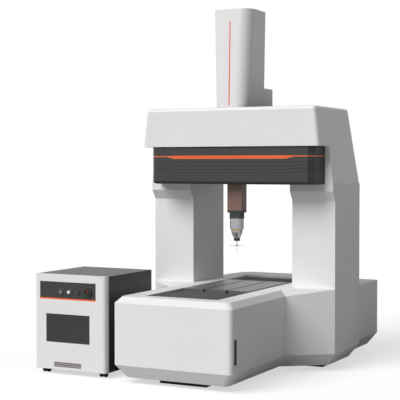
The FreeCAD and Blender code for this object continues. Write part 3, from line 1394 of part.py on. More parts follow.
PLATE_BOTTOM = "ram_bottom - end_plate"
HEAD_BOTTOM = f"{PLATE_BOTTOM} - head_height"
BODY_BOTTOM = f"{HEAD_BOTTOM} - body_height"
RING_BOTTOM = f"{BODY_BOTTOM} - ring_height"
NOSE_BOTTOM = f"{RING_BOTTOM} - nose_height"
CHUCK_BOTTOM = f"{NOSE_BOTTOM} - chuck_height"
STAR_HEIGHT = f"{CHUCK_BOTTOM} - star_drop"


def square(name, width, low, high):
    return box(name, (f"-{width} / 2", f"{width} / 2"), (f"-{width} / 2", f"{width} / 2"), (low, high))


def ram():
    top = "ram_bottom + ram_length"
    solid = box("ram_solid", ("-ram_width / 2", "ram_width / 2"), ("-ram_depth / 2", "ram_depth / 2"),
                ("ram_bottom", top))
    hollow = box("ram_hollow", ("-ram_width / 2 + ram_wall", "ram_width / 2 - ram_wall"),
                 ("-ram_depth / 2 + ram_wall", "ram_depth / 2 - ram_wall"),
                 ("ram_bottom + ram_wall", f"{top} - ram_wall"))
    node(cut("ram", solid, hollow), "ram")
    rise = ("arm_height", "arm_height + arm_thickness")
    arm = box("arm_plate", ("-arm_reach", "balance_x + balance_radius"),
              ("ram_depth / 2", "screw_z_back + coupling_radius + arm_margin"), rise)
    bore = cylinder("arm_bore", "Z", ("0", "screw_z_back"), "screw_z_radius + thread_gap", *rise)
    rod = cylinder("rod", "Z", ("balance_x", "screw_z_back"), "rod_radius", "piston_height", "arm_height")
    piston = cylinder("piston", "Z", ("balance_x", "screw_z_back"), "balance_bore - running_gap",
                      "piston_height", "piston_height + piston_length")
    node(group("ram_drive_arm", cut("drive_arm", arm, bore), fuse("balance_rod", rod, piston)),
         "ram_drive_arm")


def probe():
    plate = box("ram_end_plate", ("-ram_width / 2", "ram_width / 2"), ("-ram_depth / 2", "ram_depth / 2"),
                (PLATE_BOTTOM, "ram_bottom"))
    node(fuse("probe_mount", plate, square("probe_head", "head_width", HEAD_BOTTOM, PLATE_BOTTOM)),
         "probe_mount")
    body = square("probe_block", "body_width", BODY_BOTTOM, HEAD_BOTTOM)
    node(chamfered("probe_body", body, "body_chamfer", lambda p, d: abs(d.z) > 0.9), "probe_body")
    node(cylinder("probe_ring", "Z", ("0", "0"), "ring_radius", RING_BOTTOM, BODY_BOTTOM), "probe_ring")
    node(revolve("probe_nose", [
        ("0", RING_BOTTOM), ("ring_radius - 1", RING_BOTTOM),
        ("ring_radius - 1", f"{RING_BOTTOM} - nose_shoulder"),
        ("nose_tip_radius", NOSE_BOTTOM), ("0", NOSE_BOTTOM),
    ], "0", "0"), "probe_nose")
    barrel = cylinder("chuck_barrel", "Z", ("0", "0"), "chuck_radius", CHUCK_BOTTOM, NOSE_BOTTOM)
    socket = cylinder("chuck_socket", "Z", ("0", "0"), "stem_thick_radius + running_gap",
                      f"{CHUCK_BOTTOM} - 1", f"{CHUCK_BOTTOM} + stylus_socket")
    node(cut("stylus_chuck", barrel, socket), "stylus_chuck")


def stylus():
    """Star stylus: a short extension, a centre block, four side stems and one down, ruby-tipped."""
    seat = "sqrt(ruby_radius ^ 2 - stem_radius ^ 2)"
    side_end = f"(star_reach - {seat})"
    low_tip = f"({STAR_HEIGHT} - tip_drop)"
    parts = [
        cylinder("extension", "Z", ("0", "0"), "stem_thick_radius", STAR_HEIGHT,
                 f"{CHUCK_BOTTOM} + stylus_socket - stylus_play"),
        square("star_block", "(2 * star_half)", f"{STAR_HEIGHT} - star_half", f"{STAR_HEIGHT} + star_half"),
        cylinder("stem_x", "X", ("0", STAR_HEIGHT), "stem_radius", minus(side_end), side_end),
        cylinder("stem_y", "Y", ("0", STAR_HEIGHT), "stem_radius", minus(side_end), side_end),
        cylinder("stem_down", "Z", ("0", "0"), "stem_radius", f"{low_tip} + {seat}", STAR_HEIGHT),
    ]
    node(fuse("stylus_star", *parts), "stylus_star")
    spots = {
        (1, 0, 0): ("star_reach", "0", STAR_HEIGHT), (-1, 0, 0): ("-star_reach", "0", STAR_HEIGHT),
        (0, 1, 0): ("0", "star_reach", STAR_HEIGHT), (0, -1, 0): ("0", "-star_reach", STAR_HEIGHT),
        (0, 0, -1): ("0", "0", low_tip),
    }
    balls = [ball(f"ruby_{n}", at, "ruby_radius", "stem_radius", outwards)
             for n, (outwards, at) in enumerate(spots.items())]
    node(group("ruby_tips", *balls), "ruby_tips")


# ---------------------------------------------------------------- control cabinet

LEFT = "-cabinet_left"
RIGHT = "(cabinet_width - cabinet_left)"
FRONT = "-cabinet_front"
BACK = "(cabinet_depth - cabinet_front)"
CABINET_TOP = "(cabinet_bottom + cabinet_height)"


def cabinet_case():
    low = f"{FRONT} + bezel_depth"
    outer = box("case_outer", (LEFT, RIGHT), (low, BACK), ("cabinet_bottom", CABINET_TOP))
    inner = box("case_inner", (f"{LEFT} + cabinet_wall", f"{RIGHT} - cabinet_wall"),
                (f"{low} - 1", f"{BACK} - cabinet_wall"),
                ("cabinet_bottom + cabinet_floor + cabinet_wall", f"{CABINET_TOP} - cabinet_wall"))
    under = box("case_under", (f"{LEFT} + cabinet_wall", f"{RIGHT} - cabinet_wall"),
                (f"{low} - 1", f"{BACK} - cabinet_wall"),
                ("cabinet_bottom - 1", "cabinet_bottom + cabinet_floor"))
    node(cut("cabinet_case", outer, inner, under), "cabinet_case")


def opening(name, left, width, low, height, depth):
    """A block through the bezel, placed from the cabinet's left side and underside."""
    return box(name, (f"{LEFT} + {left}", f"{LEFT} + {left} + {width}"), depth,
               (f"cabinet_bottom + {low}", f"cabinet_bottom + {low} + {height}"))


def cabinet_front():
    """White front moulding with rounded sides and openings for panel, window and grille."""
    depth = (f"{FRONT} - 1", f"{FRONT} + bezel_depth + 1")
    plan = [(LEFT, FRONT, "cabinet_radius"), (LEFT, f"{FRONT} + bezel_depth"),
            (RIGHT, f"{FRONT} + bezel_depth"), (RIGHT, FRONT, "cabinet_radius")]
    outer = prism("bezel_block", "XY", plan, "cabinet_bottom", CABINET_TOP)
    hollow = box("bezel_hollow", (f"{LEFT} + bezel_wall", f"{RIGHT} - bezel_wall"),
                 (f"{FRONT} + bezel_face", f"{FRONT} + bezel_depth + 1"),
                 ("cabinet_bottom + cabinet_floor + cabinet_wall", f"{CABINET_TOP} - cabinet_wall"))
    panel = opening("panel_hole", "panel_left", "panel_width", "controls_bottom", "controls_height", depth)
    window = opening("window_hole", "window_left", "window_width", "window_bottom", "window_height", depth)
    grille = opening("grille_hole", "grille_left", "grille_width", "grille_bottom", "grille_height", depth)
    node(cut("cabinet_front", outer, hollow, panel, window, grille), "cabinet_front")

    face = f"{FRONT} + controls_recess"
    plate = opening("control_plate", "panel_left", "panel_width", "controls_bottom", "controls_height",
                    (face, f"{face} + plate_thickness"))
    strip_depth = (face, f"{face} + strip_depth")
    strip = opening("panel_strip", "panel_left", "panel_width", "controls_bottom", "strip_height", strip_depth)
    holes = []
    for name, radius in (("switch", "switch_radius"), ("white", "button_radius"), ("grey", "button_radius")):
        at = (f"{LEFT} + {name}_place", "cabinet_bottom + control_height")
        holes.append(cylinder(f"{name}_hole", "Y", at, f"{radius} + running_gap", f"{face} - 1",
                              f"{face} + plate_thickness + 1"))
    node(cut("control_panel", plate, strip, *holes), "control_panel")
    node(opening("panel_stripe", "panel_left", "panel_width", "controls_bottom", "strip_height", strip_depth),
         "panel_stripe")

    pane = opening("cabinet_window", "window_left", "window_width", "window_bottom", "window_height",
                   (f"{FRONT} + window_recess", f"{FRONT} + window_recess + window_thickness"))
    node(pane, "cabinet_window")
    plate = opening("grille_plate", "grille_left", "grille_width", "grille_bottom", "grille_height",
                    (f"{FRONT} + grille_recess", f"{FRONT} + grille_recess + cabinet_wall"))
    columns, rows = int(number("grille_columns")), int(number("grille_rows"))
    wide, tall = "grille_width / grille_columns", "grille_height / grille_rows"
    slots = [opening(f"grille_slot_{c}_{r}", f"grille_left + ({c} + 0.25) * {wide}", f"0.5 * {wide}",
                     f"grille_bottom + ({r} + 0.22) * {tall}", f"0.56 * {tall}", depth)
             for c in range(columns) for r in range(rows)]
    node(cut("front_grille", plate, *slots), "front_grille")


def rack_units():
    """Drive units on shelves behind the window."""
    near = f"{FRONT} + bezel_depth + unit_setback"
    deep = (near, f"{near} + unit_depth")
    wall = (f"{LEFT} + cabinet_wall", f"{RIGHT} - cabinet_wall")
    units = []
    for n in range(int(number("unit_count"))):
        low = f"cabinet_bottom + window_bottom - unit_drop + {n} * (unit_height + unit_gap)"
        shelf = box(f"shelf_{n}", wall, deep, (low, f"{low} + shelf_thickness"))
        case = box(f"unit_{n}", (f"{wall[0]} + unit_inset", f"{wall[1]} - unit_inset"), deep,
                   (f"{low} + shelf_thickness", f"{low} + unit_height"))
        units.append(fuse(f"rack_unit_{n}", shelf, case))
    node(group("rack_units", *units), "rack_units")


def control(name, place, radius, gap):
    """A round control that stands in front of the panel and runs back through it."""
    face = f"{FRONT} + controls_recess"
    at = (f"{LEFT} + {place}", "cabinet_bottom + control_height")
    front = f"{face} - {gap} - button_height"
    return cylinder(name, "Y", at, radius, front, f"{face} + plate_thickness + button_tail"), at, front


def controls():
    for name in ("white", "grey"):
        button, at, front = control(name + "_cap", name + "_place", "button_radius", "button_travel")
        node(button, name + "_button")
    barrel, at, front = control("switch_barrel", "switch_place", "switch_radius", "switch_gap")
    bar = box("switch_bar", (f"{at[0]} - switch_bar_width / 2", f"{at[0]} + switch_bar_width / 2"),
              (f"{front} - switch_bar_height", front),
              (f"{at[1]} - switch_radius", f"{at[1]} + switch_radius"))
    node(fuse("key_switch", barrel, bar), "key_switch")

    face = f"{FRONT} + controls_recess"
    rim = f"{face} - gauge_height"
    at = (f"{LEFT} + gauge_place", "cabinet_bottom + control_height")
    dial = cylinder("gauge_dial", "Y", at, "gauge_radius", rim, face)
    well = cylinder("gauge_well", "Y", at, "gauge_radius - gauge_lip", f"{rim} - 1", f"{rim} + dial_depth")
    bore = cylinder("gauge_bore", "Y", at, "needle_pin + running_gap", rim, face)
    node(cut("pressure_gauge", dial, well, bore), "pressure_gauge")
    pin = cylinder("needle_pin", "Y", at, "needle_pin", f"{rim} + needle_inset", face)
    pointer = box("needle_pointer", (f"{at[0]} - needle_width / 2", f"{at[0]} + needle_width / 2"),
                  (f"{rim} + needle_inset", f"{rim} + needle_inset + needle_thickness"),
                  (f"{at[1]} - needle_tail", f"{at[1]} + needle_length"))
    node(fuse("gauge_needle", pin, pointer), "gauge_needle")


def casters():
    """Twin-wheel casters: a plate and a web that holds the axle between two wheels."""
    floor = "cabinet_bottom + cabinet_floor"
    xs = {"left": f"{LEFT} + caster_inset_x", "right": f"{RIGHT} - caster_inset_x"}
    forks = []
    for row, y in (("front", f"({FRONT} + caster_inset_y)"), ("rear", f"({BACK} - caster_inset_y)")):
        wheels = []
        for side, x in xs.items():
            name = f"{row}_{side}"
            web = box(f"web_{name}", (f"{x} - wheel_spacing / 2 + caster_play",
                                      f"{x} + wheel_spacing / 2 - caster_play"),
                      (f"{y} - caster_web", f"{y} + caster_web"), ("wheel_radius - caster_web_low", floor))
            plate = box(f"plate_{name}", (f"{x} - caster_plate", f"{x} + caster_plate"),
                        (f"{y} - caster_plate", f"{y} + caster_plate"),
                        (f"{floor} - caster_plate_thickness", floor))
            bore = cylinder(f"caster_bore_{name}", "X", (y, "wheel_radius"), "axle_radius + running_gap",
                            f"{x} - wheel_spacing", f"{x} + wheel_spacing")
            forks.append(cut(f"caster_{name}", fuse(f"caster_body_{name}", web, plate), bore))
            for hand in (-1, 1):
                near = f"{x} + {hand} * wheel_spacing / 2"
                low, high = sorted((near, f"{near} + {hand} * wheel_width"), key=number)
                wheels.append(cylinder(f"wheel_{name}_{hand + 1}", "X", (y, "wheel_radius"), "wheel_radius",
                                       low, high))
            wheels.append(cylinder(f"axle_{name}", "X", (y, "wheel_radius"), "axle_radius",
                                   f"{x} - wheel_spacing / 2", f"{x} + wheel_spacing / 2"))
        if row == "front":
            front = group("caster_wheels_front", *join_wheels(row, wheels))
        else:
            rear = group("caster_wheels_rear", *join_wheels(row, wheels))
    node(group("caster_forks", *forks), "caster_forks")
    node(front, "caster_wheels_front")
    node(rear, "caster_wheels_rear")


def join_wheels(row, parts):
    """Each caster's two wheels and axle as one solid."""
    return [fuse(f"wheel_pair_{row}_{n}", *parts[start:start + 3]) for n, start in enumerate((0, 3))]


# ---------------------------------------------------------------- the whole machine

floor_plinth()
vibration_isolators()
bed()
table_guideways()
screw_drives()
horizontal_screws()
measuring_scales()
work_table()
table_saddle()
table_air_pads()
side_fittings(*base_covers())
rear_covers()
table_bellows()
columns()
cross_beam()
column_covers()
hood()
beam_cover()
slot_bellows()
x_carriage()
carriage_air_pads()
tower_cover()
z_drive()
ram()
probe()
stylus()
cabinet_case()
cabinet_front()
rack_units()
controls()
casters()
doc.recompute()

for item in doc.Objects:
    if "Invalid" in item.State or "Error" in item.State:
        raise RuntimeError(f"{item.Name} failed: {item.State}")
for item in NODES:
    if item.Shape.isNull() or not item.Shape.isValid():
        raise RuntimeError(f"{item.Label} has no valid shape")

os.makedirs("parts", exist_ok=True)
for item in NODES:
    item.Shape.exportStep(f"parts/{item.Label}.step")
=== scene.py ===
import json
import math

import bpy
import numpy as np
from bpy.props import FloatProperty, FloatVectorProperty, IntProperty, PointerProperty
from mathutils import Matrix, Vector


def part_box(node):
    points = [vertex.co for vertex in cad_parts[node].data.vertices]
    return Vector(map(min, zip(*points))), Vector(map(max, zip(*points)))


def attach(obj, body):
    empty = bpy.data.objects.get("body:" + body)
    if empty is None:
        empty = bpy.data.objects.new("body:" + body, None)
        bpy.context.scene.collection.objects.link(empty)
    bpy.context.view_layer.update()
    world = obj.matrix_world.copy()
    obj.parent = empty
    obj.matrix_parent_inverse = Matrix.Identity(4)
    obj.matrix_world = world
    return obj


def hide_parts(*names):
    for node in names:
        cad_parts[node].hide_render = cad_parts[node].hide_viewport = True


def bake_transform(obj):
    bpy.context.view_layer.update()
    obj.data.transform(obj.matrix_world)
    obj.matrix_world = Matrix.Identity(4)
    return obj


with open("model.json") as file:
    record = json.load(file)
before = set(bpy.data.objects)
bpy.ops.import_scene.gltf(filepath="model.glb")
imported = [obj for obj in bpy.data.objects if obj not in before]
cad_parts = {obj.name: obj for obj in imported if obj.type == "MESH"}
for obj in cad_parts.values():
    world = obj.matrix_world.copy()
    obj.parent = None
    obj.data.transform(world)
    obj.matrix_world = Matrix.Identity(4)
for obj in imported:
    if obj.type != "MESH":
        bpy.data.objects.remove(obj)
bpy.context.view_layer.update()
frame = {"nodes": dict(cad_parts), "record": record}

bl_info = {
    "name": "Coordinate measuring machine",
    "version": (1, 0, 0),
    "blender": (4, 5, 0),
    "location": "3D View > Sidebar > Machine",
    "description": "Finishes, bellows, probe and stage of a fixed-bridge measuring machine",
    "category": "Object",
}

SLOT_OF = {part["node"]: part["material_slot"] for part in frame["record"]["subparts"]}

# Pleated cloths
STEPS_PER_FOLD = 8          # rows of the mesh in one pleat
CLOTH_COLUMNS = 25          # columns of the mesh across the cloth
BINDING_DROP = 0.12         # share of a pleat's height lost at the bound edges
BINDING_FADE = 0.01         # how fast that loss fades towards the middle
TOWER_FOOT = 0.137          # half width of the tower's foot, where the slot's cloths end

# Probe nose and chuck, in metres
POLE = 0.0001               # radius of the small hole left at a turned shape's pole
NOSE_TIP = 0.023            # radius of the nose's lower end
NOSE_STEPS = 14
NOSE_BULGE = 0.9            # under 1, the nose's side is a little fuller than a cone
# Inset and depth below the top of each corner of the nose's collar and of the groove under it
NOSE_COLLAR = ((0.0, 0.0), (0.0, 0.012), (0.0015, 0.0125), (0.0015, 0.0142), (0.0004, 0.0147))
CHUCK_GROOVE = 0.001        # depth of the chuck's groove, and half its mouth
CHUCK_GROOVE_FLOOR = 0.0006
SHARP_ANGLE = math.radians(30)

# Gauge and marks, in metres and in degrees from +X towards +Z
DIAL_DEPTH = 0.0036         # the arcs' place behind the gauge's front edge
DIAL_RIM = 0.006
GAUGE_ARCS = (("red", 95, 170, "red_needle"), ("green", 185, 262, "green_mark"))
TICK_END = 80
TICK_STEP = 20
TICK_HALF = 1.2
PRINT_LIFT = 0.0002         # a printed mark stands this far before the panel
MARK_GAP = 0.009            # from a control up to its mark
MARK_HEIGHT = 0.0016

# Stage
FLOOR_REACH = 60.0
FLOOR_LINES = 9
FLOOR_DROP = 0.0005         # the floor lies this far under the machine's feet
FLOOR_GREY = (0.45, 0.45, 0.45)
KEY_FROM = (-0.30, -0.68, 0.67)
KEY_SPREAD = math.radians(40)
CAMERA_REACH = 200.0


# ---------------------------------------------------------------- colours and sizes

def linear(hex_colour):
    """Linear light values of an sRGB colour written as six hex digits."""
    values = [int(hex_colour[n:n + 2], 16) / 255 for n in (0, 2, 4)]
    return tuple(v / 12.92 if v <= 0.04045 else ((v + 0.055) / 1.055) ** 2.4 for v in values)


def colour(name, hex_colour, description):
    """A colour that a user may change, its default written as sRGB hex."""
    return FloatVectorProperty(name=name, description=description, subtype="COLOR", size=3,
                               min=0.0, max=1.0, default=linear(hex_colour))


def length(name, value, description):
    """A length in metres that a user may change."""
    return FloatProperty(name=name, description=description, default=value, min=0.0,
                         subtype="DISTANCE", unit="LENGTH")


class MachineColours(bpy.types.PropertyGroup):
    """Colours of the machine's finishes."""
    white: colour("White covers", "F0EFEF", "Painted covers, hood, tower and cabinet front")
    black: colour("Black covers", "313433", "Beam cover, control panel and probe mount")
    case: colour("Cabinet case", "1E201F", "Sides and top of the cabinet")
    orange: colour("Orange inlay", "F0672A", "Inlaid bands")
    stone: colour("Granite", "4B4D4E", "Bed, columns and beam")
    iron: colour("Table", "6E6F6F", "Ground face of the work table")
    ceramic: colour("Ram", "85685E", "Ceramic of the ram")
    fabric: colour("Bellows", "3A3C3B", "Coated cloth of the bellows")
    aluminium: colour("Aluminium", "C3C5C7", "Cast and machined aluminium parts")
    steel: colour("Steel", "A9ABAD", "Ground steel parts")
    brass: colour("Ring", "D9AE4E", "Ring of the probe")
    ruby: colour("Ruby", "C0142C", "Balls of the styli")
    mesh: colour("Grille", "A8A09E", "Front grille of the cabinet")
    pale: colour("White button", "F4F4F2", "White push button")
    grey: colour("Grey button", "4A4C4C", "Grey push button")
    red: colour("Red", "D8322A", "Needle and red arc of the gauge")
    green: colour("Green", "3FA552", "Green arc of the gauge")


class MachineSizes(bpy.types.PropertyGroup):
    """Sizes of the pieces that are added to the machine."""
    front_folds: IntProperty(name="Front folds", description="Pleats before the table", default=22, min=2)
    rear_folds: IntProperty(name="Rear folds", description="Pleats behind the table", default=18, min=2)
    side_folds: IntProperty(name="Side folds", description="Pleats beside the tower", default=16, min=2)
    sheet: length("Bellows cloth", 0.0012, "Thickness of the coated cloth")
    arc_width: length("Gauge arc", 0.003, "Width of the coloured arcs on the gauge")
    tick: length("Tick", 0.007, "Length of the plain marks above the controls")
    chamfer: length("Chuck bevel", 0.003, "Bevel of the stylus chuck")


class StageSettings(bpy.types.PropertyGroup):
    """Camera, light and floor."""
    place: FloatVectorProperty(name="Camera place", description="Camera position", size=3,
                               subtype="TRANSLATION", unit="LENGTH", default=(3.7543, -7.9021, 1.5507))
    turn: FloatProperty(name="Camera turn", description="Camera turned from +Y towards -X",
                        subtype="ANGLE", default=math.radians(27.29))
    tilt: FloatProperty(name="Camera tilt", description="Camera tilted up", subtype="ANGLE",
                        default=math.radians(-1.708))
    lens: FloatProperty(name="Lens", description="Focal length", default=101.5, min=1.0)
    key: FloatProperty(name="Key light", description="Strength of the soft key light", default=2.75, min=0.0)
    sky: FloatProperty(name="Room light", description="Strength of the light all round", default=0.13,
                       min=0.0)
    floor_glow: FloatProperty(name="Floor white",
                              description="White added to what the camera sees of the floor",
                              default=0.62, min=0.0)


# ---------------------------------------------------------------- materials

def add_node(tree, kind, settings=None, links=None):
    """Adds a shader node with its settings and the outputs that feed it."""
    node = tree.nodes.new(kind)
    for name, value in (settings or {}).items():
        if name in node.inputs:
            node.inputs[name].default_value = value
        else:
            setattr(node, name, value)
    for name, source in (links or {}).items():
        tree.links.new(source, node.inputs[name])
    return node


def finish(name, base, roughness, metallic=0.0, grain=0.002, relief=0.06, shade=0.05, stretch=(1, 1, 1),
           edge=0.0, patch=0.35, **shader):
    """A surface with a fine grain in its relief and gloss, and a slow drift of its colour.

    grain is the real size of the grain in metres, patch that of the slow drift. edge is the radius
    that softens sharp corners. The product of the two noises lies mostly between 0.1 and 0.45, so that
    span carries the whole drift of colour, and the gloss varies by 15 percent each way.
    """
    material = bpy.data.materials.new(name)
    material.use_nodes = True
    tree = material.node_tree
    tree.nodes.clear()
    place = add_node(tree, "ShaderNodeTexCoord").outputs["Object"]
    drawn = add_node(tree, "ShaderNodeMapping", {"Scale": stretch}, {"Vector": place}).outputs["Vector"]
    fine = add_node(tree, "ShaderNodeTexNoise", {"Scale": 1 / grain, "Detail": 3.0}, {"Vector": drawn})
    slow = add_node(tree, "ShaderNodeTexNoise", {"Scale": 1 / patch, "Detail": 2.0}, {"Vector": place})
    both = add_node(tree, "ShaderNodeMath", {"operation": "MULTIPLY"})
    tree.links.new(fine.outputs["Fac"], both.inputs[0])
    tree.links.new(slow.outputs["Fac"], both.inputs[1])
    spread = add_node(tree, "ShaderNodeMapRange", {"From Min": 0.1, "From Max": 0.45},
                      {"Value": both.outputs["Value"]})
    tint = add_node(tree, "ShaderNodeMixRGB", {
        "Color1": (*base, 1), "Color2": tuple(v * (1 - shade) for v in base) + (1,),
    }, {"Fac": spread.outputs["Result"]})
    gloss = add_node(tree, "ShaderNodeMapRange", {
        "From Min": 0.3, "From Max": 0.7, "To Min": roughness * 0.85, "To Max": min(1.0, roughness * 1.15),
    }, {"Value": fine.outputs["Fac"]})
    bump = add_node(tree, "ShaderNodeBump", {"Strength": relief, "Distance": min(grain, 0.001)},
                    {"Height": fine.outputs["Fac"]})
    if edge:
        soft = add_node(tree, "ShaderNodeBevel", {"samples": 4, "Radius": edge})
        tree.links.new(soft.outputs["Normal"], bump.inputs["Normal"])
    surface = add_node(tree, "ShaderNodeBsdfPrincipled", {"Metallic": metallic, **shader}, {
        "Base Color": tint.outputs["Color"], "Roughness": gloss.outputs["Result"],
        "Normal": bump.outputs["Normal"]})
    add_node(tree, "ShaderNodeOutputMaterial", None, {"Surface": surface.outputs["BSDF"]})
    return material


def input_node(material, kind):
    """The material's only node of that kind."""
    return next(n for n in material.node_tree.nodes if n.bl_idname == kind)


def granite(base):
    """Black granite, ground and lapped: a 3 mm grain with pale flecks in cells of 4 mm."""
    fleck = 0.004
    material = finish("Granite lapped", base, 0.32, grain=0.003, relief=0.03, shade=0.15)
    tree = material.node_tree
    place = input_node(material, "ShaderNodeTexCoord").outputs["Object"]
    grains = add_node(tree, "ShaderNodeTexVoronoi", {"Scale": 1 / fleck}, {"Vector": place})
    flecks = add_node(tree, "ShaderNodeMapRange", {"From Min": 0.62, "From Max": 0.95, "To Max": 0.5},
                      {"Value": grains.outputs["Color"]})
    tint = input_node(material, "ShaderNodeMixRGB")
    mixed = add_node(tree, "ShaderNodeMixRGB", {"Color2": (*linear("9A9C9E"), 1)},
                     {"Fac": flecks.outputs["Result"], "Color1": tint.outputs["Color"]})
    shader = input_node(material, "ShaderNodeBsdfPrincipled")
    tree.links.new(mixed.outputs["Color"], shader.inputs["Base Color"])
    return material


def perforated_sheet(base):
    """Perforated painted sheet: real round holes 5 mm apart, drawn darker than the sheet in a painted shade
    that stands for the shade seen through them.
    """
    pitch = 0.005
    material = finish("Perforated sheet", base, 0.5, grain=0.001)
    tree = material.node_tree
    place = input_node(material, "ShaderNodeTexCoord").outputs["Object"]
    holes = add_node(tree, "ShaderNodeTexVoronoi", {"Scale": 1 / pitch, "Randomness": 0.0},
                     {"Vector": place})
    hole_shade_mask = add_node(tree, "ShaderNodeMapRange", {"From Min": 0.45, "From Max": 0.3},
                      {"Value": holes.outputs["Distance"]})
    tint = input_node(material, "ShaderNodeMixRGB")
    # Painted shade: the holes take a darker grey for the shade behind the sheet; only the hole pattern is real
    mixed = add_node(tree, "ShaderNodeMixRGB", {"Color2": (*linear("6E6866"), 1)},
                     {"Fac": hole_shade_mask.outputs["Result"], "Color1": tint.outputs["Color"]})
    shader = input_node(material, "ShaderNodeBsdfPrincipled")
    tree.links.new(mixed.outputs["Color"], shader.inputs["Base Color"])
    return material


def make_materials(hues):
    """One material for each of the record's slots, and a few for single nodes."""
    white, black = tuple(hues.white), tuple(hues.black)
    return {
        # Powder-coated steel sheet: a fine orange peel, half matt
        "painted_white": finish("Powder coat white", white, 0.48, grain=0.0025, relief=0.05, edge=0.003),
        # Painted structural foam: smoother than sheet, soft gloss on the large radii
        "white_moulding": finish("Painted moulding white", white, 0.42, grain=0.003, relief=0.04, edge=0.004),
        # Powder-coated steel, black: half matt, its patches a little greyer where light skims it
        "painted_black": finish("Powder coat black", tuple(hues.case), 0.45, grain=0.002, shade=0.2,
                                edge=0.002),
        # Textured ABS: a matt grain that catches a dull highlight
        "black_moulding": finish("Textured ABS black", black, 0.5, grain=0.002, relief=0.1, shade=0.12,
                                 edge=0.002),
        # Enamelled strip: even colour under a thin clear gloss
        "orange_inlay": finish("Enamel orange", tuple(hues.orange), 0.35, grain=0.004, relief=0.02,
                               **{"Coat Weight": 0.3}),
        "granite": granite(tuple(hues.stone)),
        # Ground and lapped alumina: warm brown, faint grinding lines along the ram
        "ceramic_ram": finish("Alumina ground", tuple(hues.ceramic), 0.34, grain=0.0015, relief=0.03,
                              shade=0.18, stretch=(1, 1, 0.04), patch=0.12, edge=0.001),
        # Sand-cast aluminium: a rough grey skin that scatters its highlight
        "cast_aluminium": finish("Aluminium cast", tuple(hues.aluminium), 0.45, 0.9, grain=0.002,
                                 relief=0.15, shade=0.1),
        # Milled aluminium: bright, with tool marks drawn out along Z
        "machined_aluminium": finish("Aluminium milled", tuple(hues.aluminium), 0.3, 1.0, grain=0.0008,
                                     relief=0.05, shade=0.08, stretch=(1, 1, 0.1), patch=0.05, edge=0.0008),
        # Ground steel: fine lines drawn out along X
        "ground_steel": finish("Steel ground", tuple(hues.steel), 0.3, 1.0, grain=0.0008, relief=0.04,
                               stretch=(0.1, 1, 1), patch=0.05),
        # Surface-ground iron: long fine scratches along the table's travel
        "cast_iron_table": finish("Cast iron ground", tuple(hues.iron), 0.42, 0.35, grain=0.002,
                                  relief=0.06, shade=0.22, stretch=(1, 0.03, 1), patch=0.16, edge=0.001),
        # Moulded rubber: near black, with a soft low gloss
        "rubber_black": finish("Rubber moulded", linear("1B1C1C"), 0.38, grain=0.002, relief=0.05, shade=0.2),
        # Polyurethane-coated cloth: dull sheen over a grain of 1 mm, coarser than its weave so that it shows
        "bellows_fabric": finish("Coated cloth", tuple(hues.fabric), 0.62, grain=0.001, relief=0.2,
                                 shade=0.15, **{"Sheen Weight": 0.2}),
        # Gilded steel scale tape: a thin, bright, warm line
        "scale_glass": finish("Scale steel", linear("B8A468"), 0.25, 1.0, grain=0.001, patch=0.05),
        # Cast acrylic, smoked: glossy and dark, lets a little light through
        "smoked_glass": finish("Acrylic smoked", linear("474A49"), 0.1, grain=0.02, relief=0.01, shade=0.1,
                               **{"Transmission Weight": 0.3, "IOR": 1.49}),
        # Polished brass: a warm mirror with faint wear
        "brass_ring": finish("Brass polished", tuple(hues.brass), 0.22, 1.0, grain=0.001, relief=0.03,
                             patch=0.03),
        # Polished synthetic ruby: clear deep red with a sharp highlight
        "ruby": finish("Ruby polished", tuple(hues.ruby), 0.08, grain=0.001, relief=0.0, patch=0.01,
                       **{"Transmission Weight": 0.35, "IOR": 1.77}),
        # Moulded acetal push buttons: smooth, waxy gloss
        "white_button": finish("Acetal white", tuple(hues.pale), 0.3, grain=0.001, relief=0.02, edge=0.0012),
        "grey_button": finish("Acetal grey", tuple(hues.grey), 0.32, grain=0.001, relief=0.02, edge=0.0012),
        # Thin enamel and print on the dial and panel: flat, slightly uneven
        "red_needle": finish("Enamel red", tuple(hues.red), 0.35, grain=0.001, relief=0.02),
        "green_mark": finish("Enamel green", tuple(hues.green), 0.35, grain=0.001, relief=0.02),
        "pale_mark": finish("Print pale", linear("B9BBBB"), 0.5, grain=0.001, relief=0.02),
        # Perforated sheet: real holes whose darker grey is painted shade
        "grille": perforated_sheet(tuple(hues.mesh)),
        # Stoved enamel on the gauge: deeper black and glossier than the panel
        "gauge_black": finish("Gauge enamel black", linear("161818"), 0.3, grain=0.001, relief=0.02),
    }


OWN_FINISH = {"front_grille": "grille", "pressure_gauge": "gauge_black"}
MATERIALS = {}


# ---------------------------------------------------------------- surfaces

def surface_mesh(name, points, closed_u=False, closed_v=False):
    """A mesh from a grid of points, shape (rows, columns, 3), its faces on the side of rows x columns."""
    rows, columns = points.shape[:2]
    r = np.arange(rows if closed_u else rows - 1)
    c = np.arange(columns if closed_v else columns - 1)
    r, c = (grid.ravel() for grid in np.meshgrid(r, c, indexing="ij"))
    after_r, after_c = (r + 1) % rows, (c + 1) % columns
    faces = np.stack([r * columns + c, after_r * columns + c,
                      after_r * columns + after_c, r * columns + after_c], axis=1)
    mesh = bpy.data.meshes.new(name)
    mesh.from_pydata(points.reshape(-1, 3).tolist(), [], faces.tolist())
    mesh.validate()
    piece = bpy.data.objects.new(name, mesh)
    bpy.context.scene.collection.objects.link(piece)
    return piece


def dress(piece, slot, body, material=None, smooth=True):
    """Gives a piece its material and the body that it moves with."""
    piece.data.materials.append(MATERIALS[material or slot])
    if smooth:
        piece.data.shade_smooth()
    if body:
        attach(piece, body)
    return piece


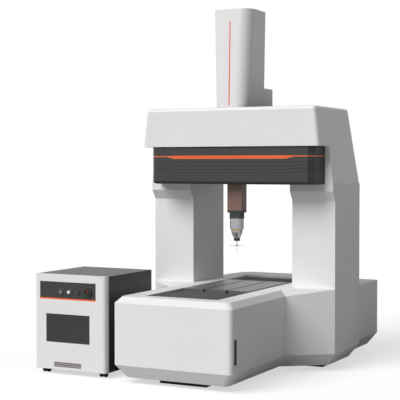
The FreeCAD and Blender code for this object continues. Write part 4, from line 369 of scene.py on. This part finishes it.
def pleats(name, low, high, folds, axis, sheet):
    """A pleated cloth in the box from low to high.

    Its height is half of one minus the cosine of a triangle wave along the axis, which rounds the
    crests. It is multiplied by one minus a small share that falls off exponentially with the product of
    the distances to the two bound edges.
    """
    along = np.linspace(0.0, 1.0, folds * STEPS_PER_FOLD + 1)
    across = np.linspace(0.0, 1.0, CLOTH_COLUMNS)
    a, b = np.meshgrid(along, across, indexing="ij")
    wave = np.abs(((a * folds) % 1.0) * 2 - 1)
    wave = 0.5 - 0.5 * np.cos(np.pi * wave)
    bind = 1 - BINDING_DROP * np.exp(-((b * (1 - b)) / BINDING_FADE))
    depth = (high[2] - low[2]) - sheet
    z = low[2] + sheet + depth * wave * bind
    other = 1 - axis
    points = np.empty(a.shape + (3,))
    points[..., axis] = low[axis] + a * (high[axis] - low[axis])
    points[..., other] = low[other] + b * (high[other] - low[other])
    points[..., 2] = z
    if axis == 1:
        points = points[:, ::-1]
    piece = surface_mesh(name, points)
    thick = piece.modifiers.new("Cloth", "SOLIDIFY")
    thick.thickness = sheet
    thick.offset = -1.0
    return piece


def turned(name, profile, turns=96):
    """A turned shape: each (radius, height) of the profile carried round the Z axis as
    radius times cosine, radius times sine, height. A small hole stays at each pole."""
    radius, height = np.array(profile).T
    angle = np.linspace(0.0, 2 * np.pi, turns, endpoint=False)
    r, t = np.meshgrid(radius, angle, indexing="ij")
    h = np.repeat(height[:, None], turns, axis=1)
    return surface_mesh(name, np.stack([r * np.cos(t), r * np.sin(t), h], axis=-1), closed_v=True)


def arc_band(name, centre, radius, width, start, end, front):
    """A flat ring sector in the XZ plane: its point at a radius and an angle is the centre plus
    radius times cosine in X and radius times sine in Z."""
    r = np.array([radius - width, radius])
    t = np.radians(np.linspace(start, end, 33))
    r, t = np.meshgrid(r, t, indexing="ij")
    x = centre[0] + r * np.cos(t)
    z = centre[2] + r * np.sin(t)
    return surface_mesh(name, np.stack([x, np.full_like(x, front), z], axis=-1)[::-1])


# ---------------------------------------------------------------- operators

class MEASURING_OT_finishes(bpy.types.Operator):
    """Give every part of the machine its finish"""
    bl_idname = "measuring.finishes"
    bl_label = "Finishes"

    def execute(self, context):
        MATERIALS.update(make_materials(context.scene.machine_colours))
        for name, part in frame["nodes"].items():
            material = MATERIALS[OWN_FINISH.get(name, SLOT_OF[name])]
            if not part.material_slots:
                part.data.materials.append(material)
            for slot in part.material_slots:
                slot.material = material
        return {"FINISHED"}


class MEASURING_OT_bellows(bpy.types.Operator):
    """Make the pleated cloths before and behind the table and beside the tower"""
    bl_idname = "measuring.bellows"
    bl_label = "Bellows"

    def execute(self, context):
        sizes = context.scene.machine_sizes
        for node, folds, moving_end in (("bellows_front", sizes.front_folds, 1),
                                        ("bellows_rear", sizes.rear_folds, 0)):
            low, high = (np.array(corner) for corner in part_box(node))
            cloth = pleats("cloth_" + node, low, high, folds, 1, sizes.sheet)
            dress(cloth, "bellows_fabric", None)
            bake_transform(cloth)
            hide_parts(node)
        low, high = (np.array(corner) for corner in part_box("x_bellows"))
        foot = sizes.sheet + TOWER_FOOT
        for side, span in (("left", (low[0], -foot)), ("right", (foot, high[0]))):
            near = np.array([span[0], low[1], low[2]])
            far = np.array([span[1], high[1], high[2]])
            cloth = pleats("cloth_slot_" + side, near, far, sizes.side_folds, 0, sizes.sheet)
            dress(cloth, "bellows_fabric", None)
            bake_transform(cloth)
            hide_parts("x_bellows")
        return {"FINISHED"}


class MEASURING_OT_probe(bpy.types.Operator):
    """Turn the probe's nose and the stylus chuck"""
    bl_idname = "measuring.probe"
    bl_label = "Probe nose and chuck"

    def execute(self, context):
        bevel = context.scene.machine_sizes.chamfer
        low, high = (np.array(corner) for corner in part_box("probe_nose"))
        wide, tall = high[0], high[2] - low[2]
        collar = [(wide - inset, high[2] - drop) for inset, drop in NOSE_COLLAR]
        inset, drop = NOSE_COLLAR[-1]
        side = [(NOSE_TIP + (wide - inset - NOSE_TIP) * (1 - s) ** NOSE_BULGE,
                 high[2] - drop - (tall - drop) * s)
                for s in np.linspace(0.0, 1.0, NOSE_STEPS)[1:]]
        nose = turned("turned_nose", [(POLE, high[2]), *collar, *side, (POLE, low[2])][::-1])
        dress(nose, "machined_aluminium", "ram")
        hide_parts("probe_nose")
        low, high = (np.array(corner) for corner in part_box("stylus_chuck"))
        wide, middle = high[0], (low[2] + high[2]) / 2
        profile = [(POLE, low[2]), (wide - bevel, low[2]), (wide, low[2] + bevel),
                   (wide, middle - CHUCK_GROOVE), (wide - CHUCK_GROOVE, middle - CHUCK_GROOVE_FLOOR),
                   (wide - CHUCK_GROOVE, middle + CHUCK_GROOVE_FLOOR), (wide, middle + CHUCK_GROOVE),
                   (wide, high[2] - bevel), (wide - bevel, high[2]), (POLE, high[2])]
        chuck = turned("turned_chuck", profile)
        dress(chuck, "painted_black", "ram")
        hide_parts("stylus_chuck")
        for piece in (nose, chuck):
            piece.data.set_sharp_from_angle(angle=SHARP_ANGLE)
        return {"FINISHED"}


class MEASURING_OT_gauge(bpy.types.Operator):
    """Paint the gauge's arcs and the plain marks above the controls"""
    bl_idname = "measuring.gauge"
    bl_label = "Gauge arcs and marks"

    def execute(self, context):
        sizes = context.scene.machine_sizes
        low, high = (np.array(corner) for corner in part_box("pressure_gauge"))
        centre = (low + high) / 2
        dial = low[1] + DIAL_DEPTH
        radius = (high[0] - low[0]) / 2 - DIAL_RIM
        for name, start, end, paint in GAUGE_ARCS:
            band = arc_band(f"gauge_arc_{name}", centre, radius, sizes.arc_width, start, end, dial)
            dress(band, "red_needle", "cabinet", material=paint, smooth=False)
        for n, degrees in enumerate(range(-TICK_END, TICK_END + 1, TICK_STEP)):
            mark = arc_band(f"gauge_tick_{n}", centre, radius, sizes.arc_width, degrees - TICK_HALF,
                            degrees + TICK_HALF, dial)
            dress(mark, "white_button", "cabinet", material="pale_mark", smooth=False)
        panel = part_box("control_panel")[0][1] - PRINT_LIFT
        for node in ("key_switch", "white_button", "grey_button", "pressure_gauge"):
            low, high = (np.array(corner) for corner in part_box(node))
            x = (low[0] + high[0]) / 2
            top = high[2] + MARK_GAP
            half = sizes.tick / 2
            x_grid, z_grid = np.meshgrid([x - half, x + half], [top, top + MARK_HEIGHT], indexing="ij")
            points = np.stack([x_grid, np.full_like(x_grid, panel), z_grid], axis=-1)
            mark = surface_mesh("mark_" + node, points)
            dress(mark, "white_button", "cabinet", material="pale_mark", smooth=False)
        return {"FINISHED"}


class MEASURING_OT_stage(bpy.types.Operator):
    """Set the floor, the light and the camera"""
    bl_idname = "measuring.stage"
    bl_label = "Stage"

    def execute(self, context):
        scene, setting = context.scene, context.scene.machine_stage
        scene.view_settings.view_transform = "Standard"
        world = bpy.data.worlds.new("Room")
        scene.world = world
        world.use_nodes = True
        tree = world.node_tree
        tree.nodes.clear()
        path = add_node(tree, "ShaderNodeLightPath")
        seen = path.outputs["Is Camera Ray"]
        for ray in ("Is Glossy Ray", "Is Transmission Ray"):
            joined = add_node(tree, "ShaderNodeMath", {"operation": "MAXIMUM"})
            tree.links.new(seen, joined.inputs[0])
            tree.links.new(path.outputs[ray], joined.inputs[1])
            seen = joined.outputs["Value"]
        strength = add_node(tree, "ShaderNodeMapRange", {"To Min": setting.sky, "To Max": 1.0},
                            {"Value": seen})
        glow = add_node(tree, "ShaderNodeBackground", {"Color": (1, 1, 1, 1)},
                        {"Strength": strength.outputs["Result"]})
        add_node(tree, "ShaderNodeOutputWorld", None, {"Surface": glow.outputs["Background"]})

        grid = np.linspace(-FLOOR_REACH, FLOOR_REACH, FLOOR_LINES)
        x, y = np.meshgrid(grid, grid, indexing="ij")
        floor = surface_mesh("floor", np.stack([x, y, np.full_like(x, -FLOOR_DROP)], axis=-1))
        # Matt backdrop paper: even and pale, keeps only the machine's soft shadow
        paper = finish("Floor paper", FLOOR_GREY, 0.9, grain=0.01, relief=0.0, shade=0.01, patch=2.0)
        tree = paper.node_tree
        path = add_node(tree, "ShaderNodeLightPath")
        white = add_node(tree, "ShaderNodeEmission", {"Color": (1, 1, 1, 1)})
        level = add_node(tree, "ShaderNodeMath", {"operation": "MULTIPLY"})
        tree.links.new(path.outputs["Is Camera Ray"], level.inputs[0])
        level.inputs[1].default_value = setting.floor_glow
        tree.links.new(level.outputs["Value"], white.inputs["Strength"])
        both = add_node(tree, "ShaderNodeAddShader")
        tree.links.new(input_node(paper, "ShaderNodeBsdfPrincipled").outputs["BSDF"], both.inputs[0])
        tree.links.new(white.outputs["Emission"], both.inputs[1])
        tree.links.new(both.outputs["Shader"], input_node(paper, "ShaderNodeOutputMaterial").inputs["Surface"])
        floor.data.materials.append(paper)

        lamp = bpy.data.lights.new("Key", "SUN")
        lamp.energy = setting.key
        lamp.angle = KEY_SPREAD
        key = bpy.data.objects.new("Key", lamp)
        key.rotation_euler = Vector(KEY_FROM).to_track_quat("Z", "Y").to_euler()
        scene.collection.objects.link(key)

        camera = bpy.data.objects.new("Camera", bpy.data.cameras.new("Camera"))
        camera.data.lens = setting.lens
        camera.data.clip_end = CAMERA_REACH
        ahead = Vector((-math.sin(setting.turn) * math.cos(setting.tilt),
                        math.cos(setting.turn) * math.cos(setting.tilt), math.sin(setting.tilt)))
        right = Vector((math.cos(setting.turn), math.sin(setting.turn), 0.0))
        up = right.cross(ahead)
        camera.matrix_world = Matrix.Translation(Vector(setting.place)) @ Matrix(
            (right, up, -ahead)).transposed().to_4x4()
        scene.collection.objects.link(camera)
        scene.camera = camera
        return {"FINISHED"}


class MEASURING_PT_panel(bpy.types.Panel):
    """The machine's colours, sizes and pieces"""
    bl_idname = "MEASURING_PT_panel"
    bl_label = "Measuring machine"
    bl_space_type = "VIEW_3D"
    bl_region_type = "UI"
    bl_category = "Machine"

    def draw(self, context):
        for group in (context.scene.machine_colours, context.scene.machine_sizes, context.scene.machine_stage):
            box = self.layout.box()
            for name in type(group).__annotations__:
                box.prop(group, name)
        for operator in OPERATORS:
            self.layout.operator(operator.bl_idname)


OPERATORS = (MEASURING_OT_finishes, MEASURING_OT_bellows, MEASURING_OT_probe, MEASURING_OT_gauge,
             MEASURING_OT_stage)
GROUPS = {"machine_colours": MachineColours, "machine_sizes": MachineSizes, "machine_stage": StageSettings}


def register():
    """Register the classes and give the scene its settings."""
    for group in (*GROUPS.values(), *OPERATORS, MEASURING_PT_panel):
        bpy.utils.register_class(group)
    for name, group in GROUPS.items():
        setattr(bpy.types.Scene, name, PointerProperty(type=group))


def unregister():
    """Take the settings and classes away again."""
    for name in GROUPS:
        delattr(bpy.types.Scene, name)
    for group in (MEASURING_PT_panel, *reversed(OPERATORS), *GROUPS.values()):
        bpy.utils.unregister_class(group)


def main():
    """Make the machine's finishes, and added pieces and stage."""
    register()
    bpy.ops.measuring.finishes()
    bpy.ops.measuring.bellows()
    bpy.ops.measuring.probe()
    bpy.ops.measuring.gauge()
    bpy.ops.measuring.stage()


if __name__ == "__main__":
    main()
